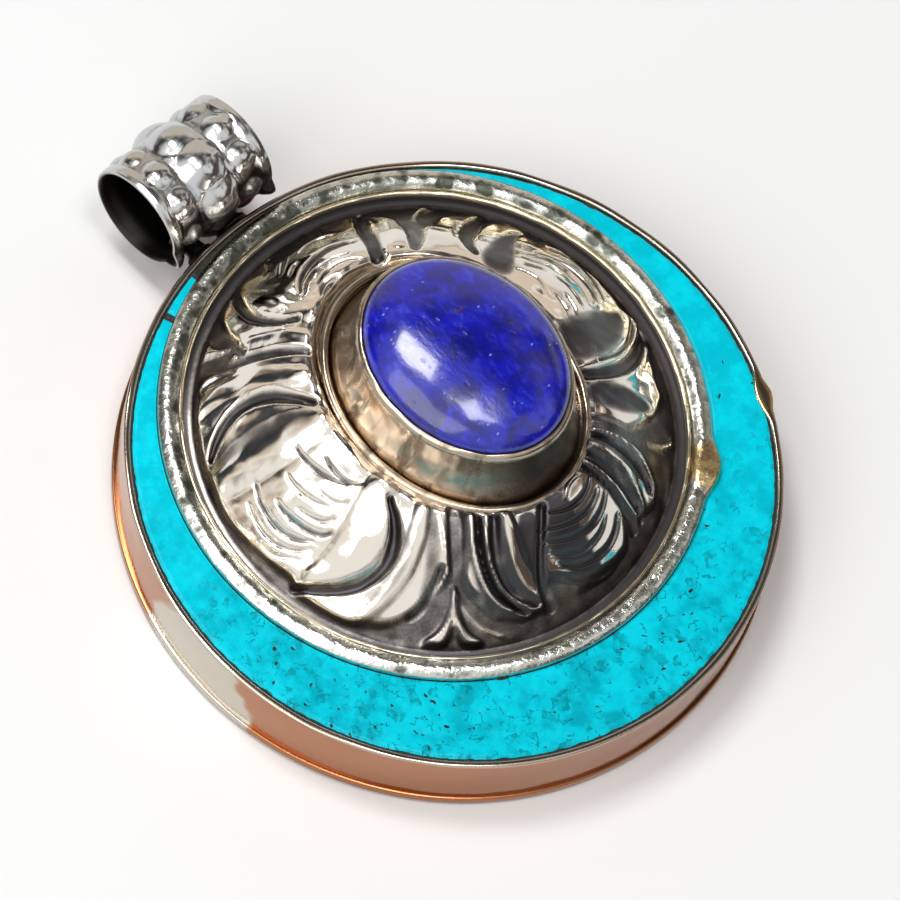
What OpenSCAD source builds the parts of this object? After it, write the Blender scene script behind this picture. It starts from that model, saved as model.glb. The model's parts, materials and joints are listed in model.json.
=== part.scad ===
// A round amulet box worn as a pendant. A push-on back closes a shallow case whose face
// carries a crescent of inlaid stone, a ring of hammered wire round a chased, domed disc,
// and an oval cabochon in a tall cup. Millimetres, face up, the bail towards +Y, and the
// origin at the middle of the underside of the back.

/* [Case] */
// Outer radius of the band round the case
case_r = 19; // [18:0.1:21]
// Thickness of the band
wall_t = 0.4; // [0.3:0.05:0.55]
// Height of the rim above the underside of the back
rim_z = 5.1; // [4.8:0.1:6]
// Depth of the inlay channel below the rim
channel_d = 1.1; // [0.9:0.05:1.3]
// Thickness of the ledge that floors the channel
ledge_t = 0.4; // [0.3:0.05:0.6]
// How wide the ledge reaches in under the edge of the disc
ledge_reach = 1.4; // [1:0.1:2]
// How far the solder at the band's seam stands out
seam_out = 0.22; // [0.1:0.02:0.3]
// Radius of the run of solder on that seam
seam_r = 0.7; // [0.5:0.05:1]
// Angle of that seam from +X
seam_a = -28; // [-180:1:180]

/* [Back] */
// Thickness of the push-on back
back_t = 0.8; // [0.5:0.05:1.2]
// How far the back stands out past the band, as a lip for a thumbnail
back_lip = 0.2; // [0.1:0.05:0.4]
// Bevel round the back's lower edge
back_bevel = 0.25; // [0.1:0.05:0.4]
// Room between the flange that grips inside the band and the ledge above it
flange_room = 0.8; // [0.4:0.05:1.6]
// Thickness of the flange
flange_t = 0.6; // [0.4:0.05:0.9]
// Clearance between the flange and the band
flange_gap = 0.08; // [0.05:0.01:0.15]

/* [Inlay] */
// Width of the inlay and its cement where it is widest
inlay_wide = 5.05; // [4:0.05:6]
// Width of the inlay and its cement where it is narrowest
inlay_narrow = 0.15; // [0.1:0.05:0.6]
// Where it is narrowest, counter-clockwise from +X
face_a = 73.4; // [0:0.1:180]
// Line of cement between the stone and the band
joint_out = 0.12; // [0.08:0.01:0.2]
// Line of cement between the stone and the ring wire
joint_in = 0.05; // [0.03:0.01:0.1]
// Cement under the stone
bed_t = 0.25; // [0.15:0.05:0.4]
// How far the stone lies below the rim
stone_down = 0.08; // [0:0.01:0.2]
// How far the cement lies below the rim
cement_down = 0.22; // [0.1:0.01:0.4]
// Where the long crescent starts, counter-clockwise from the narrowest place
crescent_start_a = 38.1; // [37:0.1:45]
// Where the long crescent ends
crescent_end_a = 341.6; // [330:0.1:342]
// Where the short chip starts
chip_start_a = 28.1; // [26:0.1:31]
// Where the short chip ends
chip_end_a = 36.6; // [32:0.1:36.6]

/* [Ring] */
// Width of the ring wire
ring_w = 1.2; // [0.9:0.05:1.4]
// Radius of the wire's crown across its width
crown_r = 0.75; // [0.72:0.01:1.2]
// How far the crown stands above the rim
crown_up = 0.5; // [0.3:0.05:0.7]
// How far the solder on the wire's joint stands proud
joint_up = 0.12; // [0.05:0.01:0.2]
// Where the wire's joint lies, counter-clockwise from +X
joint_a = -53; // [-180:1:180]
// Angle that the solder on the joint covers
joint_span = 6; // [3:0.5:10]
// Thickness of the collar strip inside the ring wire
collar_t = 0.28; // [0.2:0.02:0.4]
// How far the collar's lip lies below the wire's crown
collar_down = 0.45; // [0.3:0.05:0.7]

/* [Disc] */
// Thickness of the disc's metal at its edge
sheet_t = 0.4; // [0.3:0.05:0.6]
// Height of the dome above the disc's edge
dome_h = 5.5; // [4.5:0.05:6]
// Width of the flat land outside the cup's foot
land_w = 1; // [0.95:0.05:1.2]
// Width of the plain border inside the collar
border_w = 0.55; // [0.3:0.05:0.9]
// How far the dome bows out past a straight cone
dome_bow = 0.35; // [0:0.05:0.6]
// Depth of the chased grooves
groove_d = 0.6; // [0.4:0.02:0.7]
// Half-width of the widest grooves
stroke_w = 0.6; // [0.4:0.02:0.7]
// Height of the raised leaves
leaf_h = 0.4; // [0.3:0.02:0.5]
// Height of the soft domes of the petals over the leaves
petal_h = 0.26; // [0.1:0.02:0.3]
// Height of the ribs on each shell
rib_h = 0.28; // [0.16:0.02:0.34]
// Height of each shell's crown over the leaves
shell_h = 0.22; // [0.1:0.02:0.3]
// Height of the thin veins beside the grooves
vein_h = 0.16; // [0.08:0.02:0.24]
// Metal left under the deepest groove
skin_t = 0.3; // [0.2:0.05:0.5]

/* [Cup and cabochon] */
// Offset of the cup from the middle of the disc, across
cup_dx = 0.1; // [-0.2:0.05:0.2]
// Offset of the cup from the middle of the disc, towards the bail
cup_dy = -0.35; // [-0.4:0.05:0]
// Half-length of the cup's foot, towards the bail
foot_y = 8; // [7.6:0.05:8.4]
// Half-width of the cup's foot, across
foot_x = 6.45; // [6:0.05:6.9]
// Half-length of the cabochon at its girdle
gem_y = 6.5; // [6:0.05:6.9]
// Half-width of the cabochon at its girdle
gem_x = 5.25; // [4.8:0.05:5.6]
// Height of the cup
cup_h = 4.2; // [3.6:0.05:5]
// Thickness of the cup's wall
cup_t = 0.32; // [0.25:0.01:0.45]
// Clearance round the cabochon and its packing in the cup
cup_gap = 0.03; // [0.02:0.01:0.06]
// Depth of the cabochon below the cup's lip
gem_in = 1.5; // [1:0.05:2]
// Height of the cabochon above the cup's lip
gem_up = 1.8; // [1:0.05:2.4]
// Radius of the wire round the cup's foot
foot_wire_r = 0.25; // [0.2:0.01:0.3]

/* [Bail] */
// Gap between the band and the bail's tube
bail_gap = 0.64; // [0.4:0.02:1.5]
// Height of the bail's bore above the rim
bail_up = 0.6; // [0:0.1:1.5]
// Length of the bail
bail_l = 7.7; // [7:0.1:9]
// Radius of the bore for the cord
bore_r = 2.7; // [2:0.05:2.8]
// Thickness of the bail's metal between its bosses
bail_t = 0.36; // [0.3:0.02:0.5]
// How far the lips at both ends flare
lip_out = 0.24; // [0.16:0.02:0.4]
// Width of each lip
lip_w = 0.9; // [0.6:0.05:1.2]
// How far the middle band swells
swell = 0.35; // [0.2:0.05:0.6]
// Radius of a boss in the middle row
boss_r = 1.6; // [1.2:0.05:1.8]
// How far those bosses stand out past the tube
boss_out = 0.7; // [0.5:0.05:1]
// Bosses in the middle row
boss_n = 5; // [4:1:6]
// Angle between neighbours in the middle row
boss_step = 47; // [44:1:60]
// Radius of a boss in the two outer rows
bead_r = 1.05; // [0.8:0.05:1.2]
// How far those bosses stand out past the tube
bead_out = 0.45; // [0.3:0.05:0.6]
// Bosses in each outer row
bead_n = 6; // [5:1:7]
// Angle between neighbours in the outer rows
bead_step = 42; // [38:1:46]
// Distance of the outer rows from the bail's middle
bead_x = 2.4; // [2.2:0.05:2.6]
// Radius of the neck that joins the bail to the band
neck_r = 1.1; // [0.8:0.05:1.4]
// Distance of the neck from the bail's middle
neck_x = 0.5; // [0:0.05:1]
// How far the neck's middle lies below the rim
neck_down = 0.8; // [0.5:0.05:1.2]
// Radius of the run of solder beside the neck
run_r = 0.8; // [0.5:0.05:1]
// Distance of that run from the bail's middle
run_x = 2.1; // [2:0.05:2.6]
// How far its middle lies below the rim
run_down = 0.7; // [0.5:0.05:1.2]

/* [Hidden] */

// Facets of exact round shapes, and points round each oval
round_n = 96;
oval_n = 52;
// Overrun of every cut
over = 1;

// Levels of the case, worked out from the stack of its pieces
ledge_z = rim_z - channel_d;
crown_z = rim_z + crown_up;
land_z = ledge_z + sheet_t + dome_h;
// Sizes and places that follow from the inlay's widths
band_in = case_r - wall_t;
ring_r = band_in - (inlay_wide + inlay_narrow) / 2;
collar_in = ring_r - ring_w - collar_t;
face_off = (inlay_wide - inlay_narrow) / 2;
face_x = face_off * cos(face_a);
face_y = face_off * sin(face_a);

module at_face(z) { translate([face_x, face_y, z]) children(); }
module at_cup(z) { translate([face_x + cup_dx, face_y + cup_dy, z]) children(); }

// The push-on back: a plate and the flange soldered to it
module back_plate() {
    color("silver") rotate_extrude($fn = round_n) polygon([
        [0, 0],
        [case_r + back_lip - back_bevel, 0],
        [case_r + back_lip, back_bevel],
        [case_r + back_lip, back_t],
        [0, back_t]]);
}

module back_flange() {
    flange_r = band_in - flange_gap;
    flange_h = ledge_z - ledge_t - flange_room - back_t;
    lead = flange_t / 3;
    color("silver") translate([0, 0, back_t]) rotate_extrude($fn = round_n) polygon([
        [flange_r - flange_t, 0],
        [flange_r, 0],
        [flange_r, flange_h - lead],
        [flange_r - lead, flange_h],
        [flange_r - flange_t, flange_h]]);
}

// The band, with a softened rim and the solder on its seam
module case_band() {
    soft = wall_t / 3;
    seam_h = rim_z - back_t - 2 * soft;
    color("silver") difference() {
        union() {
            rotate_extrude($fn = round_n) polygon([
                [band_in - wall_t, back_t],
                [case_r, back_t],
                [case_r, rim_z - soft],
                [case_r - soft, rim_z],
                [band_in - wall_t, rim_z]]);
            rotate(seam_a) translate([case_r + seam_out - seam_r, 0, back_t])
                cylinder(h = seam_h, r = seam_r, $fn = round_n);
        }
        translate([0, 0, back_t - over])
            cylinder(h = rim_z - back_t + 2 * over, r = band_in, $fn = round_n);
    }
}

module channel_ledge() {
    color("silver") translate([0, 0, ledge_z - ledge_t]) difference() {
        cylinder(h = ledge_t, r = band_in, $fn = round_n);
        at_face(-over)
            cylinder(h = ledge_t + 2 * over, r = collar_in - ledge_reach, $fn = round_n);
    }
}

// The inlay: stone cut to the crescent between band and ring wire, set in dark cement
module sector(start, end) {
    steps = ceil((end - start) / 30);
    polygon([[0, 0], for (i = [0:steps])
        let (a = face_a + start + (end - start) * i / steps) 2 * case_r * [cos(a), sin(a)]]);
}

module crescent(gap_out, gap_in) {
    difference() {
        circle(r = band_in - gap_out, $fn = round_n);
        translate([face_x, face_y]) circle(r = ring_r + gap_in, $fn = round_n);
    }
}

module inlay_stone(start, end) {
    translate([0, 0, ledge_z + bed_t]) linear_extrude(channel_d - bed_t - stone_down)
        intersection() {
            crescent(joint_out, joint_in);
            sector(start, end);
        }
}

module turquoise_crescent() {
    color("darkturquoise") inlay_stone(crescent_start_a, crescent_end_a);
}

module turquoise_chip() {
    color("darkturquoise") inlay_stone(chip_start_a, chip_end_a);
}

module inlay_cement() {
    color("dimgray") difference() {
        translate([0, 0, ledge_z]) linear_extrude(channel_d - cement_down) crescent(0, 0);
        inlay_stone(crescent_start_a, crescent_end_a);
        inlay_stone(chip_start_a, chip_end_a);
    }
}

// The ring of half-round wire and the strip that holds the disc inside it
module wire_section(proud) {
    intersection() {
        translate([ring_r - ring_w, 0])
            square([ring_w, crown_z - ledge_z + proud]);
        union() {
            translate([ring_r - ring_w, 0]) square([ring_w, crown_z - ledge_z - crown_r]);
            translate([ring_r - ring_w / 2, crown_z - ledge_z - crown_r])
                circle(r = crown_r + proud, $fn = round_n);
        }
    }
}

module ring_wire() {
    color("darkgray") at_face(ledge_z) {
        rotate_extrude($fn = round_n) wire_section(0);
        rotate(joint_a - joint_span / 2)
            rotate_extrude(angle = joint_span, $fn = round_n) wire_section(joint_up);
    }
}

module disc_collar() {
    collar_h = crown_z - collar_down - ledge_z;
    color("silver") at_face(ledge_z) rotate_extrude($fn = round_n) polygon([
        [collar_in, 0],
        [collar_in + collar_t, 0],
        [collar_in + collar_t, collar_h - collar_t / 2],
        [collar_in + collar_t / 2, collar_h],
        [collar_in, collar_h - collar_t / 2]]);
}

// A closed skin over a list of rings of points. The rings run once round the section, so
// the last meets the first, or with caps they run from a lower to an upper face.
module skin(rings, caps) {
    n = len(rings[0]);
    m = len(rings);
    last = caps ? m - 2 : m - 1;
    polyhedron(
        points = [for (ring = rings) for (p = ring) p],
        faces = [
            for (i = [0:last]) for (j = [0:n - 1])
                let (a = i * n + j, b = i * n + (j + 1) % n,
                     c = ((i + 1) % m) * n + j, d = ((i + 1) % m) * n + (j + 1) % n)
                    for (f = [[a, c, b], [b, c, d]]) f,
            if (caps) [for (j = [0:n - 1]) j],
            if (caps) [for (j = [n - 1:-1:0]) (m - 1) * n + j]]);
}

function oval(x, y, z) =
    [for (i = [0:oval_n - 1]) [x * cos(360 * i / oval_n), y * sin(360 * i / oval_n), z]];

// The chased disc. Its pattern has four ribbed shells, each between two leaves, with valleys
// and buds between the leaves. A place on it is an angle in degrees counter-clockwise from +X
// and a share of the way out from the land to the border.
// Where the raised pattern ends on the way out, at each angle
outline_shares = [
    [0, 0.97], [12, 0.98], [17, 1.02], [20, 0.95], [25, 1.02], [32.3, 1.03], [40.5, 0.93],
    [45, 0.82], [49, 0.58], [55, 0.4], [58.5, 0.72], [62, 0.9], [65, 1], [75, 1.02], [77, 0.82],
    [90, 0.8], [92, 1.02], [100, 1.03], [107, 1.03], [113, 0.95], [119, 0.7], [125, 0.72],
    [128, 0.93], [132, 1], [140, 1.01], [150, 0.98], [163, 0.98], [175, 0.93], [187, 0.9],
    [190, 0.97], [203, 0.98], [214, 0.9], [219, 0.8], [225, 0.6], [229, 0.4], [233, 0.6],
    [240, 0.8], [247, 0.86], [254, 0.84], [256, 0.62], [258.6, 0.64], [267, 0.8], [275.5, 0.87],
    [280.5, 0.86], [284, 0.75], [286.5, 0.6], [288.5, 0.8], [290.9, 0.82], [296, 0.9], [301, 0.86],
    [304.8, 0.66], [308, 0.4], [311, 0.5], [316.8, 0.7], [321, 0.83], [326, 0.93], [330.5, 0.9],
    [340, 0.97], [344, 0.97], [348.6, 1.04], [352, 0.95], [360, 0.97]];

// Strokes of the chasing: a place and a half-width at the start, the middle and the end,
// with the half-width as a share of stroke_w, then how strongly the stroke marks
valley_shares = [
    [[128, 1.02, 0.6], [125.6, 0.5, 0.72], [126, -0.02, 0.5], 1],
    [[111, 1, 0.6], [118, 0.78, 0.6], [123, 0.6, 0.6], 1],
    [[57.5, 1, 1.2], [55, 0.5, 1.5], [59, 0.03, 0.6], 1],
    [[306, 0.95, 1.2], [307, 0.5, 1], [303, -0.02, 0.8], 1],
    [[318, 0.95, 0.6], [312, 0.7, 0.6], [309, 0.55, 0.6], 1],
    [[229.5, 0.55, 0.6], [229.2, 0.3, 0.7], [228, -0.02, 0.6], 1],
    [[244, 0.95, 0.6], [236.5, 0.76, 0.52], [230, 0.55, 0.5], 1],
    [[214, 0.96, 0.6], [222.5, 0.74, 0.52], [227.5, 0.52, 0.5], 1]];
bud_shares = [
    [[228.9, 0.56, 0.1], [230.3, 0.8, 0.8], [231, 0.97, 2], 1],
    [[121, 0.72, 0.1], [121, 0.9, 0.7], [120, 1.06, 2], 1],
    [[53.2, 0.64, 0.12], [51, 0.84, 0.32], [47.5, 1.02, 1], 0.9],
    [[310, 0.66, 0.12], [312, 0.84, 0.32], [315, 1, 0.8], 0.9]];
groove_shares = [
    [[189, 0.94, 0.3], [207.8, 0.5, 0.9], [201, 0.08, 0.44], 1],
    [[150.5, 0.9, 0.3], [139.8, 0.5, 0.94], [148, 0.02, 0.5], 1],
    [[131.4, 0.92, 0.2], [129.6, 0.8, 0.44], [128.2, 0.64, 0.16], 0.7],
    [[218, 0.8, 0.2], [222, 0.64, 0.4], [224.5, 0.42, 0.3], 0.7],
    [[102.5, 1, 0.4], [112.8, 0.52, 0.56], [113, 0.12, 0.4], 0.9],
    [[64, 1, 0.3], [69.5, 0.48, 0.84], [75.5, -0.05, 0.76], 1],
    [[391.4, 1.02, 0.7], [398.4, 0.48, 1.1], [396, 0.14, 0.7], 1],
    [[347.5, 0.93, 0.2], [338.8, 0.62, 0.28], [331.3, 0.2, 0.2], 0.7],
    [[346, 1, 0.5], [332, 0.52, 1], [324, -0.02, 0.9], 1],
    [[297.7, 0.77, 0.3], [300.9, 0.42, 0.68], [297, -0.02, 0.5], 0.9],
    [[289.8, 0.82, 0.2], [291.3, 0.42, 0.56], [288.8, -0.02, 0.5], 0.9],
    [[286, 0.8, 0.4], [287, 0.42, 0.36], [283.5, -0.04, 0.4], 0.9],
    [[255, 0.82, 0.6], [254.8, 0.45, 0.52], [261, 0, 0.5], 1],
    [[252, 0.77, 0.2], [242.6, 0.45, 0.64], [242.5, 0, 0.5], 0.7],
    [[248.7, 0.8, 0.2], [238.6, 0.48, 0.44], [236, 0, 0.4], 0.9]];
// The soft domes along the leaves
petal_shares = [
    [[192, 0.82, 1.4], [198.5, 0.5, 3], [196, 0.08, 2], 1],
    [[158, 0.92, 1.4], [155.5, 0.55, 3], [157, 0.1, 2], 1],
    [[206, 0.93, 0.6], [213.4, 0.5, 1.3], [214.5, 0.05, 1], 0.7],
    [[138, 1, 1], [133.5, 0.6, 1.4], [136, 0.08, 1.2], 0.7],
    [[291.5, 0.8, 0.3], [295.6, 0.4, 1], [293, -0.02, 0.8], 0.8],
    [[253, 0.74, 0.3], [248.3, 0.42, 1.2], [246, -0.02, 1], 0.8],
    [[297, 0.86, 0.4], [304, 0.5, 0.7], [299.5, 0, 0.6], 0.5],
    [[245, 0.76, 0.3], [236.8, 0.5, 0.6], [233.6, 0, 0.6], 0.6],
    [[120, 0.55, 0.4], [120.5, 0.3, 1], [121, 0.02, 1], 0.5],
    [[104, 0.95, 0.8], [106.5, 0.5, 1.4], [110, 0.05, 1.2], 0.4],
    [[60.5, 0.8, 0.6], [61, 0.5, 1.4], [64.5, 0.1, 1], 0.5],
    [[342, 0.93, 0.2], [331, 0.62, 0.6], [322.5, 0.1, 0.5], 0.3]];
hollow_shares = [
    [[384, 0.86, 0.2], [386, 0.5, 2], [385, 0.1, 2.4], 0.5],
    [[350.5, 0.86, 0.6], [345.5, 0.45, 3], [341, 0.05, 3], 0.45],
    [[318, 0.72, 1], [320, 0.45, 1.6], [316, 0.15, 1.6], 0.4],
    [[152, 0.85, 1.6], [149.5, 0.55, 2.6], [151, 0.2, 2], 0.35],
    [[192, 0.86, 1.4], [199, 0.62, 2.2], [199, 0.3, 1.6], 0.3],
    [[252.5, 0.74, 0.4], [250, 0.5, 1.2], [252, 0.2, 1.6], 0.4],
    [[120.5, 0.55, 0.4], [121, 0.3, 0.8], [122, 0.02, 1], 0.4],
    [[63.5, 0.9, 0.2], [63.5, 0.6, 0.6], [67, 0.2, 0.8], 0.3]];
vein_shares = [
    [[197, 0.78, 0.3], [206.5, 0.46, 0.3], [201, 0.12, 0.3], 1],
    [[145, 0.68, 0.3], [141.3, 0.4, 0.3], [146.5, 0.08, 0.3], 1],
    [[249, 0.69, 0.3], [239.9, 0.46, 0.33], [239.5, -0.03, 0.3], 1],
    [[242, 0.925, 0.3], [234.6, 0.77, 0.3], [229.7, 0.56, 0.3], 1]];
// Shells: the middle's angle and the half-width in degrees, where it starts and ends on the
// way out, its ribs, and how far they bow outwards and lean clockwise
shell_shares = [
    [175.5, 12.8, 0.13, 0.88, 7, 0.07, 0.04], [89, 12.5, -0.08, 0.8, 6, 0.07, 0.03],
    [6, 14, 0.05, 0.95, 7, 0.03, -0.02], [270.3, 14.2, 0.02, 0.84, 6, 0.1, -0.08]];
// How soon the pattern rises at its outline, and a shell at its sides and ends
edge_ramp_share = 0.09;
side_ramp_share = 0.22;
row_ramp_share = 0.08;
// How deep a hollow goes, of a groove's depth
hollow_share = 0.6;
// How much of the dome's height is a cone's
cone_share = 0.65;
// Steps round the disc, out along it, and through its underside
disc_n = 144;
disc_m = 30;
under_m = 4;

function clamp(x) = min(1, max(0, x));
function ease(x) = let (t = clamp(x)) t * t * (3 - 2 * t);
function turn(a) = a > 180 ? turn(a - 360) : a < -180 ? turn(a + 360) : a;
function total(v) = v * [for (x = v) 1];

disc_r = collar_in;
edge_r = disc_r - border_w;
top_z = ledge_z + sheet_t;

// Distance from the disc's middle to the land's edge, and to a share v out from there
land_x = foot_x + land_w;
land_y = foot_y + land_w;
function land(a) = 1 / sqrt(pow(cos(a) / land_x, 2) + pow(sin(a) / land_y, 2));
function out(a, v) = land(a) + (edge_r - land(a)) * v;

// Height of the plain dome over the disc's edge, a share v out from the land
function dome(v) = dome_bow * sin(180 * v)
    + dome_h * (cone_share * (1 - v) + (1 - cone_share) * ease(1 - v));

// Where a stroke runs, at a share t of its length, and how a place lies from a point of it
stroke_steps = 6;
chase_l = edge_r - (land_x + land_y) / 2;
function path(s, t) = let (bend = 2 * s[1] - (s[0] + s[2]) / 2)
    (1 - t) * (1 - t) * s[0] + 2 * t * (1 - t) * bend + t * t * s[2];
function away(a, v, p) = [turn(a - p[0]) * PI / 180 * out(a, v), (v - p[1]) * chase_l];

// How strongly one stroke marks a place, and the strongest mark of a list of strokes
function mark(a, v, s) = max([for (i = [0:stroke_steps - 1])
    let (from = path(s, i / stroke_steps),
         to = path(s, (i + 1) / stroke_steps),
         start = away(a, v, from),
         way = start - away(a, v, to),
         k = clamp(start * way / (way * way)),
         w = stroke_w * (from[2] + (to[2] - from[2]) * k))
        clamp(1 - pow(norm(start - k * way) / w, 2))]);
// The angle to each side of its middle that a stroke can reach, so the rest of the disc
// needn't be measured from it
function spread(s) = 2 * max(abs(s[0][0] - s[1][0]), abs(s[2][0] - s[1][0]))
    + atan(2 * stroke_w * max(s[0][2], s[1][2], s[2][2]) / min(land_x, land_y));
function strongest(a, v, strokes) = max([0, for (s = strokes)
    if (abs(turn(a - s[1][0])) < spread(s)) s[3] * mark(a, v, s)]);

// The shells: coils that overlap outwards on a low crown
function shells(a, v) = total([0, for (f = shell_shares)
    let (s = -turn(a - f[0]) / f[1])
        if (abs(s) < 1)
            let (row = (v - f[5] * (1 - s * s) - f[6] * s - f[2]) / (f[3] - f[2]),
                 mask = ease((1 - abs(s)) / side_ramp_share) * ease(row / row_ramp_share)
                     * ease((1 - row) / row_ramp_share))
                mask * (shell_h * (1 - s * s) - rib_h * (1 - abs(sin(180 * f[4] * row))))]);

// Height of the chasing over the plain dome at angle a and share v, and its lowest
lowest = min(0, leaf_h - groove_d);
function relief(a, v) =
    let (valley = ease(1.6 * strongest(a, v, valley_shares)),
         bud = ease(1.4 * strongest(a, v, bud_shares)),
         raised = ease((lookup(a, outline_shares) - v) / edge_ramp_share) * (1 - valley),
         hollow = hollow_share * pow(strongest(a, v, hollow_shares), 1.5),
         cut = max(hollow, strongest(a, v, groove_shares)),
         ends = ease(v / edge_ramp_share) * ease((1 - v) / edge_ramp_share))
        ends * max(lowest, leaf_h * max(raised, bud) + shells(a, v)
            + petal_h * ease(strongest(a, v, petal_shares)) * raised
            + vein_h * strongest(a, v, vein_shares) - groove_d * cut);

// Rings of points on the chased face, on the smooth underside and on the plain edges
function angles() = [for (i = [0:disc_n - 1]) 360 * i / disc_n];
function face_ring(v) = [for (a = angles())
    [out(a, v) * cos(a), out(a, v) * sin(a), top_z + dome(v) + relief(a, v)]];
function under_ring(v) = [for (a = angles())
    [out(a, v) * cos(a), out(a, v) * sin(a), max(ledge_z, top_z + dome(v) + lowest - skin_t)]];
function plain_ring(r, z) = [for (a = angles()) [r * cos(a), r * sin(a), z]];

module chased_disc() {
    color("gray") at_face(0) skin(concat(
        [for (i = [0:under_m]) under_ring(i / under_m)],
        [plain_ring(disc_r, ledge_z), plain_ring(disc_r, top_z)],
        [for (i = [disc_m:-1:0]) face_ring(i / disc_m)]), true);
}

// The cup: a flared oval wall, a wire round its foot, packing and the cabochon
function cup_x(t) = foot_x + (gem_x + cup_t - foot_x) * t;
function cup_y(t) = foot_y + (gem_y + cup_t - foot_y) * t;
// How far up the wall its rings of points lie, and how much it waists there
cup_shares = [0, 0.1, 0.3, 0.6, 0.9, 1];
waist_share = 0.05;

function cup_ring(t, inset) =
    let (pull = 1 - waist_share * sin(180 * t))
        oval(cup_x(t) * pull - inset, cup_y(t) * pull - inset, cup_h * t);

module stone_cup() {
    color("darkkhaki") at_cup(land_z) skin(concat(
        [for (i = [len(cup_shares) - 1:-1:0]) cup_ring(cup_shares[i], cup_t)],
        [for (t = cup_shares) cup_ring(t, 0)]), false);
}

module cup_foot_wire() {
    sides = 7;
    color("darkkhaki") at_cup(land_z + foot_wire_r)
        skin([for (k = [0:sides - 1]) let (c = foot_wire_r * cos(360 * k / sides))
            oval(foot_x + foot_wire_r + c, foot_y + foot_wire_r + c,
                foot_wire_r * sin(360 * k / sides))], false);
}

// Packing fills the cup from the disc's land to the cabochon's flat back
seat_share = 1 - gem_in / cup_h;
fill = cup_t + cup_gap;
module cup_packing() {
    color("sienna") at_cup(land_z) skin(concat(
        [for (t = cup_shares) if (t < seat_share) cup_ring(t, fill)],
        [cup_ring(seat_share, fill)]), true);
}

// The cabochon: a flat back, a girdle that fills the cup, and an oval dome
dome_steps = 8;
crown_a = 84;
module lapis_cabochon() {
    color("mediumblue") at_cup(land_z) skin(concat(
        [cup_ring(seat_share, fill)],
        [for (t = cup_shares) if (t > seat_share) cup_ring(t, fill)],
        [for (i = [1:dome_steps]) let (a = crown_a * i / dome_steps)
            oval((gem_x - cup_gap) * cos(a), (gem_y - cup_gap) * cos(a),
                cup_h + gem_up * sin(a) / sin(crown_a))]), true);
}

// The bail: a tube with flared lips and rows of bosses, on a shank soldered to the band
tube_r = bore_r + bail_t;
bail_y = case_r + bail_gap + tube_r;
bail_z = rim_z + bail_up;
// Outline of half the tube: how far out from its middle, and how far it stands out there,
// as shares of the half-length left inside the lip, of the swell and of the lip's flare
swell_shares = [[0, 1], [0.2, 0.94], [0.38, 0.6], [0.5, 0.1], [0.62, 0.35], [0.8, 0.3], [1, 0]];
lip_shares = [[0, 0.2], [0.3, 0.9], [0.7, 1], [1, 0.75]];

module at_bail() { translate([0, bail_y, bail_z]) rotate([0, 90, 0]) children(); }

module half_outline(side) {
    inner_l = bail_l / 2 - lip_w;
    polygon([
        [0, 0],
        for (p = swell_shares) [tube_r + swell * p[1], side * inner_l * p[0]],
        for (p = lip_shares) [tube_r + lip_out * p[1], side * (inner_l + lip_w * p[0])],
        [0, side * bail_l / 2]]);
}

// A row of bosses round the tube, centred on its top, at a distance along it
boss_mid_a = 165;
module boss_row(x, r, proud, n, step) {
    for (i = [0:n - 1])
        rotate(boss_mid_a + step * (i - (n - 1) / 2))
            translate([tube_r + proud - r, 0, x]) sphere(r = r, $fn = round_n);
}

module bail_body() {
    rotate_extrude($fn = round_n) union() {
        half_outline(1);
        half_outline(-1);
    }
    boss_row(0, boss_r, boss_out, boss_n, boss_step);
    for (side = [-1, 1]) boss_row(side * bead_x, bead_r, bead_out, bead_n, bead_step);
}

module bail_tube() {
    color("silver") at_bail() difference() {
        bail_body();
        cylinder(h = bail_l + 2 * over, r = bore_r, center = true, $fn = round_n);
    }
}

// The shank: a short neck and a smaller run of solder, shaped to the band and the tube
module shank_bar(x, down, r) {
    translate([x, case_r - wall_t, rim_z - down]) rotate([-90, 0, 0])
        cylinder(h = bail_y - case_r, r = r, $fn = round_n);
}

module bail_shank() {
    color("silver") difference() {
        union() {
            shank_bar(neck_x, neck_down, neck_r);
            shank_bar(-run_x, run_down, run_r);
        }
        translate([0, 0, -over]) cylinder(h = rim_z + bail_y, r = case_r, $fn = round_n);
        at_bail() bail_body();
    }
}

back_plate();
back_flange();
case_band();
channel_ledge();
inlay_cement();
turquoise_crescent();
turquoise_chip();
ring_wire();
disc_collar();
chased_disc();
stone_cup();
cup_foot_wire();
cup_packing();
lapis_cabochon();
bail_tube();
bail_shank();
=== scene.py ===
import json
import logging
import math
from dataclasses import dataclass
from enum import Enum
from typing import Any, Sequence

import bmesh
import bpy
import numpy as np
from mathutils import Matrix, Vector


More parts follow.
